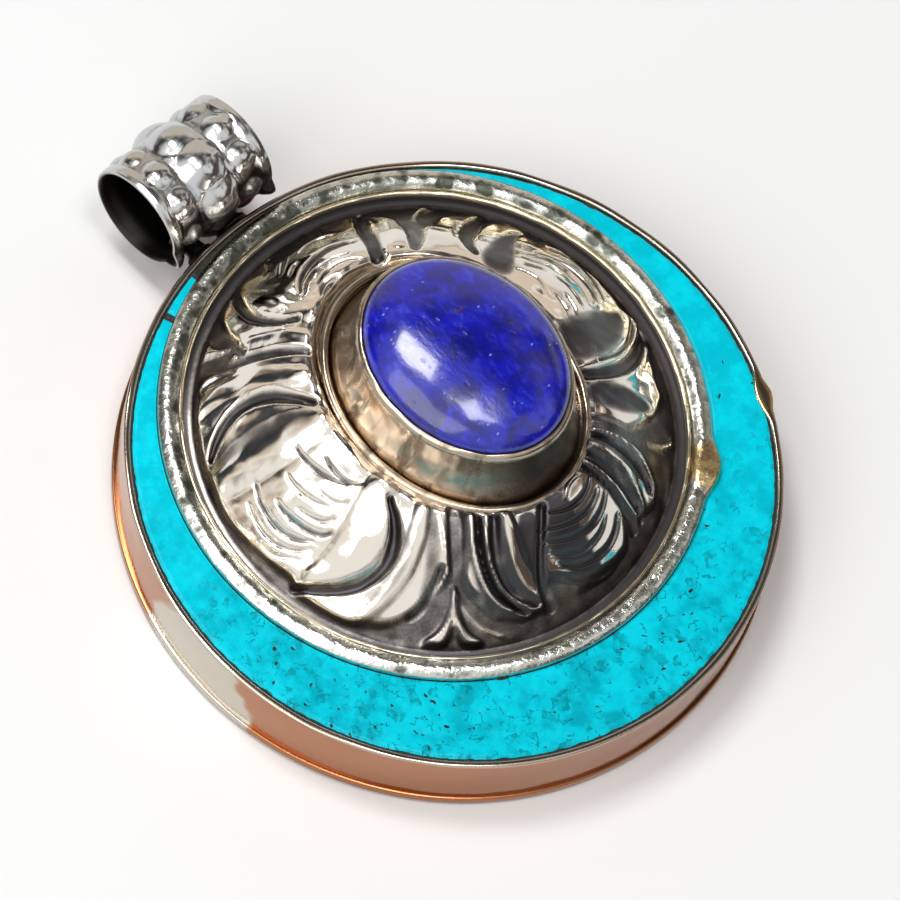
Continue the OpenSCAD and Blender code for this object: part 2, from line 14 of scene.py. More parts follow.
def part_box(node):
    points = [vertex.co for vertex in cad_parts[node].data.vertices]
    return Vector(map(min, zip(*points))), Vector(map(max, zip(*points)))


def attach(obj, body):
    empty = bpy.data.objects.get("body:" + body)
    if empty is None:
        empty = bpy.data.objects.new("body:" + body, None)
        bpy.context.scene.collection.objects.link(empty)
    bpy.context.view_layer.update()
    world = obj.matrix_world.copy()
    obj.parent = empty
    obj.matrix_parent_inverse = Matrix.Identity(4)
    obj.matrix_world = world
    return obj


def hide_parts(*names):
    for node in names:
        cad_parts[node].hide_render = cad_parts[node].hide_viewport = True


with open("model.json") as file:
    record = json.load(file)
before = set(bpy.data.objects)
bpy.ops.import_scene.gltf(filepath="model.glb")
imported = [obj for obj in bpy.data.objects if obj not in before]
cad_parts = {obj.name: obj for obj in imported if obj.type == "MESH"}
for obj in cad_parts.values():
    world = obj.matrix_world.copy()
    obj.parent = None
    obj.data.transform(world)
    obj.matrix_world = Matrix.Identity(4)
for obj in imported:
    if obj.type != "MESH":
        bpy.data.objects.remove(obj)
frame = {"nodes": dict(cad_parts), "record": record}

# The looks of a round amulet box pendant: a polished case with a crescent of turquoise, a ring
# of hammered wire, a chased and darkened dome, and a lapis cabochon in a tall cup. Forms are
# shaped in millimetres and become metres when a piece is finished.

MM = 0.001
TURN = 2 * math.pi
Array = np.ndarray
Colour = tuple[float, float, float]
Pair = tuple[float, float]
Place = tuple[float, float, float]
Section = list[Pair]
LEVEL = (1, 1, 0)        # leaves heights out, so that a ripple is the same all the way up

log = logging.getLogger("pendant")


class Body(str, Enum):
    """The two bodies that the push-on case comes apart into."""

    BACK = "back"
    FRONT = "front"


class Slot(str, Enum):
    """The finishes that the record names."""

    SILVER = "silver"
    OXIDISED = "oxidised_silver"
    WIRE = "hammered_wire"
    TURQUOISE = "turquoise"
    CEMENT = "cement"
    LAPIS = "lapis"
    PACKING = "packing"


class Closure(Enum):
    """How a lattice closes: round its section, from pole to pole, or as a strip with ends."""

    RING = "ring"
    SHELL = "shell"
    STRIP = "strip"


@dataclass(frozen=True)
class Extent:
    """The box of a construction node, in millimetres.

    Attributes:
        low: Its corner of least coordinates.
        high: Its corner of greatest coordinates.
    """

    low: Vector
    high: Vector

    @classmethod
    def of(cls, node: str) -> "Extent":
        """Read the box of one node."""
        low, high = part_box(node)
        return cls(low / MM, high / MM)

    @property
    def centre(self) -> Vector:
        """Middle of the box."""
        return (self.low + self.high) / 2

    @property
    def half(self) -> Vector:
        """Half of the box's size."""
        return (self.high - self.low) / 2


def ease(x: Array) -> Array:
    """Rise smoothly from 0 at 0 to 1 at 1."""
    t = np.clip(x, 0.0, 1.0)
    return t * t * (3.0 - 2.0 * t)


def bump(distance: Array, width: float) -> Array:
    """Fall smoothly from 1 at no distance to 0 at the width."""
    return np.clip(1.0 - (distance / width) ** 2, 0.0, 1.0) ** 2


def wrap(angle: Array) -> Array:
    """Bring angles in degrees into the half turn either way."""
    return (angle + 180.0) % 360.0 - 180.0


def ripple(points: Array, length: float, seed: int, waves: int = 24) -> Array:
    """Sum plane waves into a smooth random surface.

    Args:
        points: Positions in millimetres, in the last axis.
        length: Rough distance from one crest to the next.
        seed: Picks the surface.
        waves: How many plane waves are summed.

    Returns:
        Heights of about -1 to 1, one for each point.
    """
    rng = np.random.default_rng(seed)
    ways = rng.normal(size=(waves, 3))
    ways *= (TURN / length) / np.linalg.norm(ways, axis=1, keepdims=True)
    ways *= rng.uniform(0.6, 1.5, (waves, 1))
    phases = rng.uniform(0.0, TURN, waves)
    return np.sin(points @ ways.T + phases).sum(axis=-1) / math.sqrt(waves)


def soften(table: Array, passes: int) -> Array:
    """Blur a table whose columns go once round.

    Args:
        table: Numbers by row and column.
        passes: How many times it is blurred.

    Returns:
        The blurred table.
    """
    for _ in range(passes):
        padded = np.pad(table, ((1, 1), (0, 0)), mode="edge")
        table = (padded[:-2] + padded[2:] + 2 * table) / 4
        table = (np.roll(table, 1, 1) + np.roll(table, -1, 1) + 2 * table) / 4
    return table


def arc(centre: Pair, radius: float, start: float, end: float, count: int) -> Section:
    """Points along a circular arc of a section, ends included.

    Args:
        centre: Its middle, as distance out and height.
        radius: Its radius.
        start: Angle of its first point in degrees.
        end: Angle of its last point in degrees.
        count: How many points it has.

    Returns:
        Distances out and heights.
    """
    angles = np.radians(np.linspace(start, end, count))
    return [(centre[0] + radius * math.cos(a), centre[1] + radius * math.sin(a)) for a in angles]


def line(start: Pair, end: Pair, count: int) -> Section:
    """Points along a straight run of a section, without its last point.

    Args:
        start: Its first point, as distance out and height.
        end: The point that it stops short of.
        count: How many points it has.

    Returns:
        Distances out and heights.
    """
    steps = np.arange(count) / count
    return [(start[0] + (end[0] - start[0]) * t, start[1] + (end[1] - start[1]) * t)
            for t in steps]


def around(reach: Array, turns: Array, height: Array, centre: Pair = (0.0, 0.0)) -> Array:
    """Places about an upright axis.

    Args:
        reach: Distances from the axis.
        turns: Shares of a turn, counter-clockwise from +X.
        height: Heights of the places.
        centre: Where the axis stands.

    Returns:
        Places by row and column.
    """
    angles = TURN * turns
    return np.stack(np.broadcast_arrays(
        centre[0] + reach * np.cos(angles), centre[1] + reach * np.sin(angles), height), axis=-1)


def revolve(section: Sequence[Pair], turns: Array, centre: Pair = (0.0, 0.0)) -> Array:
    """Places of a section, of distances out and heights, turned about an upright axis."""
    points = np.array(section)
    return around(points[:, :1], turns, points[:, 1:], centre)


def push_out(places: Array, turns: Array, push: Array) -> None:
    """Push places outward, each along its own share of a turn."""
    places[..., 0] += push * np.cos(TURN * turns)
    places[..., 1] += push * np.sin(TURN * turns)


@dataclass(frozen=True)
class Lattice:
    """A grid whose points are placed by row and by turn, and which then closes on itself.

    Attributes:
        steps: Steps of the turn.
        closure: How the section and the turn close.
    """

    steps: int
    closure: Closure = Closure.RING

    @property
    def turns(self) -> Array:
        """Share of the turn at each column."""
        columns = self.steps + (self.closure is Closure.STRIP)
        return np.arange(columns) / self.steps

    def form(self, places: Array, marks: Array | None = None) -> bmesh.types.BMesh:
        """Make a grid, move its points to their places and merge where they meet.

        Args:
            places: Places in millimetres, by row and column.
            marks: How dark the patina and the painted shade are at each place, or None for none.

        Returns:
            The closed form, with its patina and painted shade in a layer.
        """
        marks = np.zeros(places.shape[:2]) if marks is None else marks
        table = np.concatenate([places, marks[..., None]], axis=-1)
        if self.closure is not Closure.STRIP:
            table = np.concatenate([table, table[:, :1]], axis=1)
        if self.closure is not Closure.SHELL:
            table = np.concatenate([table, table[:1]], axis=0)
        form = bmesh.new()
        bmesh.ops.create_grid(form, x_segments=table.shape[0] - 1,
                              y_segments=table.shape[1] - 1, size=1.0)
        layer = form.verts.layers.float.new("patina")
        for vert in form.verts:
            row = round((vert.co.x + 1) / 2 * (table.shape[0] - 1))
            column = round((vert.co.y + 1) / 2 * (table.shape[1] - 1))
            *vert.co, vert[layer] = table[row, column]
        bmesh.ops.remove_doubles(form, verts=form.verts, dist=1e-5)
        if self.closure is Closure.STRIP:
            bmesh.ops.holes_fill(form, edges=form.edges, sides=0)
        bmesh.ops.recalc_face_normals(form, faces=form.faces)
        return form


def finish_piece(name: str, form: bmesh.types.BMesh, material: bpy.types.Material,
                 body: Body, replaces: Sequence[str] = (),
                 crease: float = 50.0) -> bpy.types.Object:
    """Turn a form into a piece of the object.

    Args:
        name: The piece's name.
        form: The form, in millimetres, which is used up.
        material: The piece's finish.
        body: The body that it moves with.
        replaces: Construction nodes that it stands for.
        crease: Angle in degrees past which an edge stays sharp.

    Returns:
        The finished object.
    """
    bmesh.ops.scale(form, vec=(MM, MM, MM), verts=form.verts)
    mesh = bpy.data.meshes.new(name)
    form.to_mesh(mesh)
    form.free()
    mesh.shade_smooth()
    mesh.set_sharp_from_angle(angle=math.radians(crease))
    mesh.materials.append(material)
    piece = bpy.data.objects.new(name, mesh)
    bpy.context.scene.collection.objects.link(piece)
    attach(piece, body.value)
    if replaces:
        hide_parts(*replaces)
    log.info("%s: %d faces on %s", name, len(mesh.polygons), body.value)
    return piece


def dress_node(node: str, material: bpy.types.Material) -> None:
    """Give a construction node that stays in view its finish.

    Args:
        node: The node's name.
        material: Its finish.
    """
    mesh = frame["nodes"][node].data
    mesh.materials.clear()
    mesh.materials.append(material)
    log.info("%s: dressed with %s", node, material.name)


class Value:
    """A number that varies over a surface, for use in Python's arithmetic."""

    def __init__(self, graph: "Graph", socket: bpy.types.NodeSocket) -> None:
        """Wrap one output socket of a graph."""
        self.graph = graph
        self.socket = socket

    def _math(self, operation: str, first: Any, second: Any) -> "Value":
        """Join two numbers by one Math node."""
        return self.graph.value("ShaderNodeMath", {"operation": operation}, {0: first, 1: second})

    def __add__(self, other: Any) -> "Value":
        """Add a number."""
        return self._math("ADD", self, other)

    __radd__ = __add__

    def __sub__(self, other: Any) -> "Value":
        """Take a number away."""
        return self._math("SUBTRACT", self, other)

    def __rsub__(self, other: Any) -> "Value":
        """Take this from a number."""
        return self._math("SUBTRACT", other, self)

    def __mul__(self, other: Any) -> "Value":
        """Multiply by a number."""
        return self._math("MULTIPLY", self, other)

    __rmul__ = __mul__

    def __truediv__(self, other: Any) -> "Value":
        """Divide by a number."""
        return self._math("DIVIDE", self, other)

    def between(self, low: float, high: float) -> "Value":
        """Rise smoothly from 0 at the low number to 1 at the high one."""
        return self.graph.value("ShaderNodeMapRange", {"interpolation_type": "SMOOTHSTEP"},
                                {"Value": self, "From Min": low, "From Max": high}, "Result")


class Graph:
    """A node tree that is built by calls and by arithmetic on its values."""

    def __init__(self, tree: bpy.types.NodeTree) -> None:
        """Work on one node tree."""
        self.tree = tree

    def node(self, kind: str, settings: dict[str, Any] | None = None,
             sockets: dict[str | int, Any] | None = None) -> bpy.types.Node:
        """Add a node.

        Args:
            kind: The node's type.
            settings: Its settings, with a ramp's stops as pairs of place and colour.
            sockets: Values or links of its inputs, by name or number.

        Returns:
            The new node.
        """
        node = self.tree.nodes.new(kind)
        for key, setting in (settings or {}).items():
            if key == "stops":
                ramp = node.color_ramp.elements
                while len(ramp) < len(setting):
                    ramp.new(1.0)
                for element, (place, colour) in zip(ramp, setting):
                    element.position = place
                    element.color = (*colour, 1.0)
            else:
                setattr(node, key, setting)
        for key, value in (sockets or {}).items():
            self.join(value, node.inputs[key])
        return node

    def join(self, value: Any, socket: bpy.types.NodeSocket) -> None:
        """Link a value to an input, or set it there.

        Args:
            value: A value or socket, a number, or a colour or vector.
            socket: The input.
        """
        if isinstance(value, Value):
            self.tree.links.new(value.socket, socket)
        elif isinstance(value, bpy.types.NodeSocket):
            self.tree.links.new(value, socket)
        elif socket.type == "RGBA":
            socket.default_value = (*value, 1.0)
        else:
            socket.default_value = value

    def value(self, kind: str, settings: dict[str, Any] | None = None,
              sockets: dict[str | int, Any] | None = None, output: str | int = 0) -> Value:
        """Add a node and wrap one of its outputs as a value."""
        return Value(self, self.node(kind, settings, sockets).outputs[output])

    def patina(self) -> Value:
        """How dark the mesh is marked, by patina and by painted shade."""
        return self.value("ShaderNodeAttribute", {"attribute_name": "patina"}, {}, "Fac")

    def metres(self) -> bpy.types.NodeSocket:
        """Object coordinates in metres."""
        return self.node("ShaderNodeTexCoord").outputs["Object"]

    def axis(self, name: str) -> Value:
        """One object coordinate in millimetres."""
        return self.value("ShaderNodeSeparateXYZ", {}, {0: self.metres()}, name) / MM

    def places(self, stretch: Place = (1.0, 1.0, 1.0), turn: float = 0.0
               ) -> bpy.types.NodeSocket:
        """Object coordinates in millimetres.

        Args:
            stretch: Share to which a pattern on them is crowded along each axis.
            turn: Turn about Z in degrees.

        Returns:
            The coordinates.
        """
        scale = tuple(share / MM for share in stretch)
        return self.node("ShaderNodeMapping", {}, {
            "Vector": self.metres(), "Scale": scale,
            "Rotation": (0.0, 0.0, math.radians(turn))}).outputs["Vector"]

    def noise(self, places: bpy.types.NodeSocket, size: float, detail: float = 3.0,
              rough: float = 0.5, bend: float = 0.0) -> Value:
        """Cloudy noise.

        Args:
            places: Coordinates in millimetres.
            size: Rough size of its clouds.
            detail: How many finer layers it has.
            rough: How strong the finer layers are.
            bend: How far it is bent by itself.

        Returns:
            Values of 0 to 1.
        """
        return self.value("ShaderNodeTexNoise", {}, {
            "Vector": places, "Scale": 1.0 / size, "Detail": detail, "Roughness": rough,
            "Distortion": bend}, "Fac")

    def cells(self, places: bpy.types.NodeSocket, size: float, feature: str = "F1",
              output: str = "Distance") -> Value:
        """A pattern of cells.

        Args:
            places: Coordinates in millimetres.
            size: Rough size of the cells.
            feature: What is measured in them.
            output: Which output is read.

        Returns:
            The distances or other values that were asked for.
        """
        return self.value("ShaderNodeTexVoronoi", {"feature": feature}, {
            "Vector": places, "Scale": 1.0 / size}, output)

    def away(self, place: Place, radius: float) -> Value:
        """Distance from a place, as a share of a radius, both in millimetres."""
        return self.value("ShaderNodeVectorMath", {"operation": "DISTANCE"}, {
            0: self.metres(), 1: tuple(Vector(place) * MM)}, "Value") / (radius * MM)

    def shade(self, sockets: dict[str, Any]) -> None:
        """Set or link inputs of the material's shader by name."""
        for key, value in sockets.items():
            self.join(value, self.tree.nodes["Principled BSDF"].inputs[key])

    def blend(self, share: Any, first: Any, second: Any) -> bpy.types.NodeSocket:
        """Blend two colours by a share of the second."""
        return self.node("ShaderNodeMix", {"data_type": "RGBA"}, {
            0: share, 6: first, 7: second}).outputs[2]

    def bumped(self, height: Value) -> bpy.types.NodeSocket:
        """A normal bent by a height in millimetres."""
        return self.node("ShaderNodeBump", {}, {
            "Height": height, "Distance": MM, "Strength": 1.0}).outputs["Normal"]


def new_material(name: str, sockets: dict[str, Any] | None = None
                 ) -> tuple[bpy.types.Material, Graph]:
    """Start a material.

    Args:
        name: Its name.
        sockets: Values of its shader's inputs, by name.

    Returns:
        The material and its graph.
    """
    material = bpy.data.materials.new(name)
    material.use_nodes = True
    graph = Graph(material.node_tree)
    graph.shade(sockets or {})
    return material, graph


@dataclass(frozen=True)
class Metal:
    """A polished alloy with a dark patina, and on some pieces painted shade, where its mesh is
    marked.

    Attributes:
        name: Name of the material.
        bright: Colour of the polished metal.
        warm: Colour that it drifts to in soft clouds.
        dark: Colour of the patina and of the painted shade.
        gloss: Roughness of the polished metal.
        dull: Roughness of the patina.
        smudge: How far the roughness wanders.
        scratch: Depth of its fine scratches.
        pit: Depth of its pitting.
        pit_size: Size of the pits.
        wear: How far specks of patina spread over the polished metal.
        painted_streak: How strongly upright streaks of painted dark reflection darken it.
        highlight_patch: Middle of its only painted highlight, a bright patch, in millimetres, or
            none.
        highlight_r: Radius of that painted highlight.
        rim: Height in millimetres above which it stays bright, a painted highlight along the rim.
        spot: Middle of its only spot of yellowish solder in millimetres, or none.
        spot_r: Radius of that spot.
        spot_tone: Colour of the solder.
        cloud_size: Size of the clouds in its colour.
        speck_size: Size of the specks of patina.
    """

    name: str
    bright: Colour = (0.86, 0.83, 0.78)
    warm: Colour = (0.80, 0.72, 0.60)
    dark: Colour = (0.15, 0.135, 0.13)
    gloss: float = 0.12
    dull: float = 0.38
    smudge: float = 0.10
    scratch: float = 0.0012
    pit: float = 0.0
    pit_size: float = 0.25
    wear: float = 0.0
    painted_streak: float = 0.0
    highlight_patch: Place | None = None
    highlight_r: float = 4.3
    rim: float = 5.0
    spot: Place | None = None
    spot_r: float = 1.5
    spot_tone: Colour = (0.58, 0.42, 0.20)
    cloud_size: float = 2.6
    speck_size: float = 0.16

    def build(self) -> bpy.types.Material:
        """Build the material.

        Returns:
            The material.
        """
        material, graph = new_material(self.name, {"Metallic": 1.0})
        cloud = graph.noise(graph.places(), self.cloud_size)
        patina_and_painted_shade = self._patina_and_painted_shade(graph, cloud)
        metal = graph.blend(self._warmth(graph, cloud), self.bright, self.warm)
        colour = graph.blend(patina_and_painted_shade, metal, self.dark)
        if self.spot:
            ragged = (graph.noise(graph.places(), 0.8) - 0.5) * 0.5
            spotted = 1 - (graph.away(self.spot, self.spot_r) + ragged).between(0.75, 1.0)
            colour = graph.blend(spotted * 0.9, colour, self.spot_tone)
        smear = graph.noise(graph.places((1.0, 0.25, 1.0), 35.0), 0.9, 5.0, 0.6)
        rough = self.gloss + patina_and_painted_shade * (self.dull - self.gloss) + (smear - 0.45) * self.smudge
        graph.shade({"Base Color": colour, "Roughness": rough,
                     "Normal": graph.bumped(self._relief(graph))})
        return material

    def _patina_and_painted_shade(self, graph: Graph, cloud: Value) -> Value:
        """How far the patina and the painted shade cover the metal.

        Args:
            graph: The material's graph.
            cloud: Soft clouds of 0 to 1.

        Returns:
            Shares of about 0 to 1.
        """
        marked = graph.patina()
        speck = graph.noise(graph.places(), self.speck_size, 4.0, 0.65)
        patina_and_painted_shade = (marked * 1.25 + (speck - 0.5) * 0.5 * (marked + self.wear)
                 + (cloud - 0.5) * 0.25 * marked).between(0.12, 0.88)
        if self.wear:
            patina_and_painted_shade = patina_and_painted_shade + (speck.between(0.56, 0.72) * self.wear) * (1 - patina_and_painted_shade)
        # Upright streaks of painted dark reflection.
        if self.painted_streak:
            painted_runs = graph.noise(graph.places((1.0, 1.0, 0.12)), 1.3, 3.0, 0.6)
            patina_and_painted_shade = patina_and_painted_shade + painted_runs.between(0.50, 0.66) * self.painted_streak * (1 - patina_and_painted_shade)
        return patina_and_painted_shade

    def _warmth(self, graph: Graph, cloud: Value) -> Value:
        """How far the metal drifts to its warm tone; where it has painted highlights, it stays
        bright.

        Args:
            graph: The material's graph.
            cloud: Soft clouds of 0 to 1.

        Returns:
            Shares, which a blend clamps.
        """
        if not self.highlight_patch:
            return (cloud - 0.3) * 1.2
        # Painted highlight: the metal stays bright in the patch and along the rim.
        away = graph.away(self.highlight_patch, self.highlight_r) + (cloud - 0.5) * 0.9
        at_rim = graph.axis("Z").between(self.rim - 0.12, self.rim)
        return away.between(0.90, 1.06) * (1 - at_rim * 0.8)

    def _relief(self, graph: Graph) -> Value:
        """Height of its fine scratches and pits.

        Args:
            graph: The material's graph.

        Returns:
            Heights in millimetres.
        """
        lines = (graph.noise(graph.places((1.0, 0.06, 1.0), 20.0), 0.05, 2.0)
                 + graph.noise(graph.places((0.06, 1.0, 0.3), -15.0), 0.06, 2.0))
        relief = lines * self.scratch
        if self.pit:
            relief = relief + graph.noise(graph.places(), self.pit_size, 3.0, 0.6) * self.pit
        return relief


@dataclass(frozen=True)
class Turquoise:
    """Polished turquoise with teal flakes and small dark pits, thickest away from the bail.

    Attributes:
        name: Name of the material.
        body: Colour of the stone.
        pale: Colour of its paler clouds.
        deep: Colour of its darker clouds.
        flake: Colour of the flakes and of the cracks round them.
        matrix: Colour of the pits.
        flake_size: Size of the flakes.
        reach: Distance from the middle to where the stone is broken most.
    """

    name: str = "turquoise"
    body: Colour = (0.0, 0.59, 0.74)
    pale: Colour = (0.0, 0.73, 0.89)
    deep: Colour = (0.0, 0.27, 0.34)
    flake: Colour = (0.0, 0.13, 0.16)
    matrix: Colour = (0.015, 0.02, 0.015)
    flake_size: float = 0.55
    reach: float = 19.0

    def build(self) -> bpy.types.Material:
        """Build the material.

        Returns:
            The material.
        """
        material, graph = new_material(self.name, {"IOR": 1.4, "Specular IOR Level": 0.15})
        places = graph.places()
        down = (graph.axis("Y") * -1.0 + graph.axis("X") * -0.45) / self.reach
        broken = (graph.noise(places, 6.0, 2.0) * 1.3 + down * 0.55).between(0.50, 1.15)
        tone = graph.noise(places, 1.5, 4.0, 0.6)
        fine = graph.noise(places, 0.45, 3.0, 0.6)
        warp = graph.node("ShaderNodeVectorMath", {"operation": "MULTIPLY_ADD"}, {
            0: graph.node("ShaderNodeTexNoise", {}, {
                "Vector": places, "Scale": 3.0, "Detail": 3.0}).outputs["Color"],
            1: (0.5, 0.5, 0.5), 2: places}).outputs[0]
        chosen = graph.cells(warp, self.flake_size, output="Color")
        inside = graph.cells(warp, self.flake_size, "DISTANCE_TO_EDGE")
        flakes = (1 - chosen.between(0.20, 0.26)) * inside.between(0.02, 0.07) * broken
        edges = (1 - inside.between(0.0, 0.06)) * broken * graph.noise(
            places, 0.6, 2.0).between(0.56, 0.62)
        colour = graph.blend((tone + (fine - 0.5) * 0.5).between(0.38, 0.70), self.body, self.pale)
        clouded = (1 - tone.between(0.30, 0.52)) * (broken * 0.45 + 0.04) + broken * 0.16
        colour = graph.blend(clouded, colour, self.deep)
        colour = graph.blend(flakes * fine.between(0.35, 0.6) * 0.62, colour, self.flake)
        colour = graph.blend(edges * 0.9, colour, self.flake)
        pits = graph.patina()
        ragged = (pits * 1.3 + (fine - 0.5) * 0.9 * pits.between(0.0, 0.3)).between(0.35, 0.65)
        colour = graph.blend(ragged, colour, self.matrix)
        rough = 0.28 + (edges + ragged) * 0.3 + (tone - 0.5) * 0.2
        height = tone * 0.010 + fine * 0.006 - (edges + flakes) * 0.02
        graph.shade({"Base Color": colour, "Roughness": rough, "Normal": graph.bumped(height)})
        return material


@dataclass(frozen=True)
class Lapis:
    """Deep blue lapis lazuli with paler clouds, glints and a few brown inclusions.

    Attributes:
        name: Name of the material.
        body: Colour of the stone.
        deep: Colour of its darker clouds.
        pale: Colour of its paler streaks.
        fleck: Colour of the glints.
        earth: Colour of the inclusions.
        lean: Angle of its streaks in degrees.
    """

    name: str = "lapis"
    body: Colour = (0.004, 0.006, 0.43)
    deep: Colour = (0.002, 0.004, 0.17)
    pale: Colour = (0.030, 0.050, 0.66)
    fleck: Colour = (0.35, 0.42, 0.92)
    earth: Colour = (0.10, 0.05, 0.03)
    lean: float = 35.0

    def build(self) -> bpy.types.Material:
        """Build the material.

        Returns:
            The material.
        """
        material, graph = new_material(self.name, {
            "IOR": 1.45, "Coat Weight": 0.75, "Coat Roughness": 0.09})
        places = graph.places()
        tone = graph.noise(places, 1.9, 4.0, 0.62, 0.5)
        grain = graph.noise(graph.places((1.0, 0.45, 1.0), self.lean), 0.42, 4.0, 0.65)
        colour = graph.blend(tone.between(0.36, 0.60), self.deep, self.body)
        colour = graph.blend((grain * 0.8 + tone * 0.35).between(0.56, 0.84) * 0.85,
                             colour, self.pale)
        flecks = graph.cells(graph.places((1.0, 1.8, 1.0), self.lean), 0.80)
        chosen = graph.noise(places, 1.5, 2.0).between(0.50, 0.57)
        glints = (1 - flecks.between(0.06, 0.17)) * chosen
        colour = graph.blend(glints * 0.6, colour, self.fleck)
        brown = graph.noise(graph.places(turn=10.0), 1.2, 4.0, 0.65).between(0.65, 0.72)
        colour = graph.blend(brown * 0.7, colour, self.earth)
        hollow = 1 - graph.cells(graph.places((1.0, 0.6, 1.0), 60.0), 0.6).between(0.05, 0.24)
        hollow = hollow * graph.noise(places, 1.2, 2.0).between(0.48, 0.58)
        rough = 0.16 + hollow * 0.3 + (grain - 0.4) * 0.25
        lines = graph.noise(graph.places((1.0, 0.08, 1.0), 40.0), 0.09, 2.0)
        height = grain * 0.022 - hollow * 0.03 + lines * 0.003
        graph.shade({"Base Color": colour, "Roughness": rough, "Normal": graph.bumped(height)})
        return material


@dataclass(frozen=True)
class Filler:
    """A dull filler, such as cement or pitch, with grains in it.

    Attributes:
        name: Name of the material.
        body: Colour of the paste.
        grain: Colour of the grains.
        rough: Roughness of both.
        size: Size of the grains.
    """

    name: str
    body: Colour
    grain: Colour
    rough: float = 0.8
    size: float = 0.25

    def build(self) -> bpy.types.Material:
        """Build the material.

        Returns:
            The material.
        """
        material, graph = new_material(self.name)
        grain = graph.noise(graph.places(), self.size, 4.0, 0.7)
        graph.shade({"Base Color": graph.blend(grain.between(0.45, 0.75), self.body, self.grain),
                     "Roughness": self.rough + (grain - 0.5) * 0.3,
                     "Normal": graph.bumped(grain * 0.05)})
        return material


@dataclass(frozen=True)
class Finishes:
    """Every material of the object, built once."""

    polished: bpy.types.Material
    chased: bpy.types.Material
    wire: bpy.types.Material
    collar: bpy.types.Material
    cup: bpy.types.Material
    bail: bpy.types.Material
    inside: bpy.types.Material
    turquoise: bpy.types.Material
    lapis: bpy.types.Material
    cement: bpy.types.Material
    packing: bpy.types.Material

    @classmethod
    def build(cls) -> "Finishes":
        """Build all the materials.

        Returns:
            The materials by their uses.
        """
        return cls(
            # The band's bright patch and its bright rim line are painted highlights.
            polished=Metal("polished_silver", bright=(0.52, 0.47, 0.40), warm=(0.39, 0.165, 0.074),
                           scratch=0.0030, highlight_patch=(-18.9, 1.2, 1.8),
                           spot=(16.55, -8.80, 5.2), spot_r=1.7).build(),
            chased=Metal("chased_silver", bright=(0.82, 0.77, 0.70), warm=(0.76, 0.67, 0.56),
                         dark=(0.075, 0.07, 0.073), gloss=0.07, smudge=0.10, pit=0.004,
                         pit_size=0.5).build(),
            wire=Metal("hammered_silver", bright=(0.64, 0.66, 0.62), warm=(0.46, 0.46, 0.36),
                       dark=(0.07, 0.075, 0.06), gloss=0.13, pit=0.036, pit_size=0.20,
                       wear=0.45, spot=(10.60, -9.95, 5.3), spot_r=1.7).build(),
            collar=Metal("collar_silver", bright=(0.74, 0.66, 0.50), warm=(0.62, 0.52, 0.36),
                         gloss=0.16).build(),
            cup=Metal("cup_silver", bright=(0.50, 0.42, 0.33), warm=(0.32, 0.23, 0.16),
                      dark=(0.06, 0.042, 0.03), gloss=0.20, pit=0.004, pit_size=0.6,
                      painted_streak=0.7).build(),
            bail=Metal("bail_silver", bright=(0.57, 0.60, 0.62), warm=(0.58, 0.51, 0.42),
                       dark=(0.022, 0.02, 0.018), gloss=0.15, pit=0.002, pit_size=0.6).build(),
            inside=Metal("inside_silver", gloss=0.34, smudge=0.2, wear=0.15).build(),
            turquoise=Turquoise().build(),
            lapis=Lapis().build(),
            cement=Filler("cement", (0.012, 0.012, 0.011), (0.06, 0.055, 0.045)).build(),
            packing=Filler("packing", (0.10, 0.05, 0.025), (0.19, 0.10, 0.05)).build())


@dataclass
class Back:
    """The push-on back: a plate with a thumbnail lip, and the flange inside the band.

    Attributes:
        finishes: The materials.
        bevel: Width of the slope under the plate's edge, for a thumbnail.
        lip_round: Rounding of the plate's upper edge.
        bow: How far the underside is hollowed in its middle.
        bow_wave: Length of the waves left in it by flattening.
        lead: Slope at the flange's upper edge.
        flange_t: Thickness of the flange.
    """

    finishes: Finishes
    bevel: float = 0.25
    lip_round: float = 0.08
    bow: float = 0.05
    bow_wave: float = 9.0
    lead: float = 0.2
    flange_t: float = 0.6

    def make(self) -> None:
        """Make the plate and its flange."""
        self._plate()
        self._flange()

    def _plate(self) -> None:
        """Make the plate, with a softened edge and a hand-flattened underside."""
        plate = Extent.of("back_plate")
        radius, top = plate.high.x, plate.high.z
        edge = radius - self.bevel
        section = (line((0.0, 0.0), (edge, 0.0), 40)
                   + line((edge, 0.0), (radius, self.bevel), 4)
                   + line((radius, self.bevel), (radius, top - self.lip_round), 4)
                   + arc((radius - self.lip_round, top - self.lip_round), self.lip_round, 0, 90, 4)
                   + line((radius - 2 * self.lip_round, top), (0.0, top), 30)
                   + [(0.0, top)])
        lattice = Lattice(360, Closure.SHELL)
        places = revolve(section, lattice.turns)
        under = places[..., 2] < self.bevel / 2
        out = np.hypot(places[..., 0], places[..., 1]) / radius
        waves = 0.5 + 0.5 * ripple(places, self.bow_wave, 4)
        places[..., 2] += under * self.bow * ease(1 - out) * waves
        marks = 0.25 * ease((out - 0.985) * 60) * under
        finish_piece("back_plate_formed", lattice.form(places, marks), self.finishes.polished,
                     Body.BACK, ["back_plate"])

    def _flange(self) -> None:
        """Make the flange, with a lead at its upper edge."""
        flange = Extent.of("back_flange")
        radius, low, high = flange.high.x, flange.low.z, flange.high.z
        inner = radius - self.flange_t
        section = (line((inner, low), (radius, low), 3)
                   + line((radius, low), (radius, high - self.lead), 6)
                   + line((radius, high - self.lead), (radius - self.lead, high), 3)
                   + line((radius - self.lead, high), (inner, high), 3)
                   + line((inner, high), (inner, low), 6))
        lattice = Lattice(360)
        finish_piece("back_flange_formed", lattice.form(revolve(section, lattice.turns)),
                     self.finishes.inside, Body.BACK, ["back_flange"])


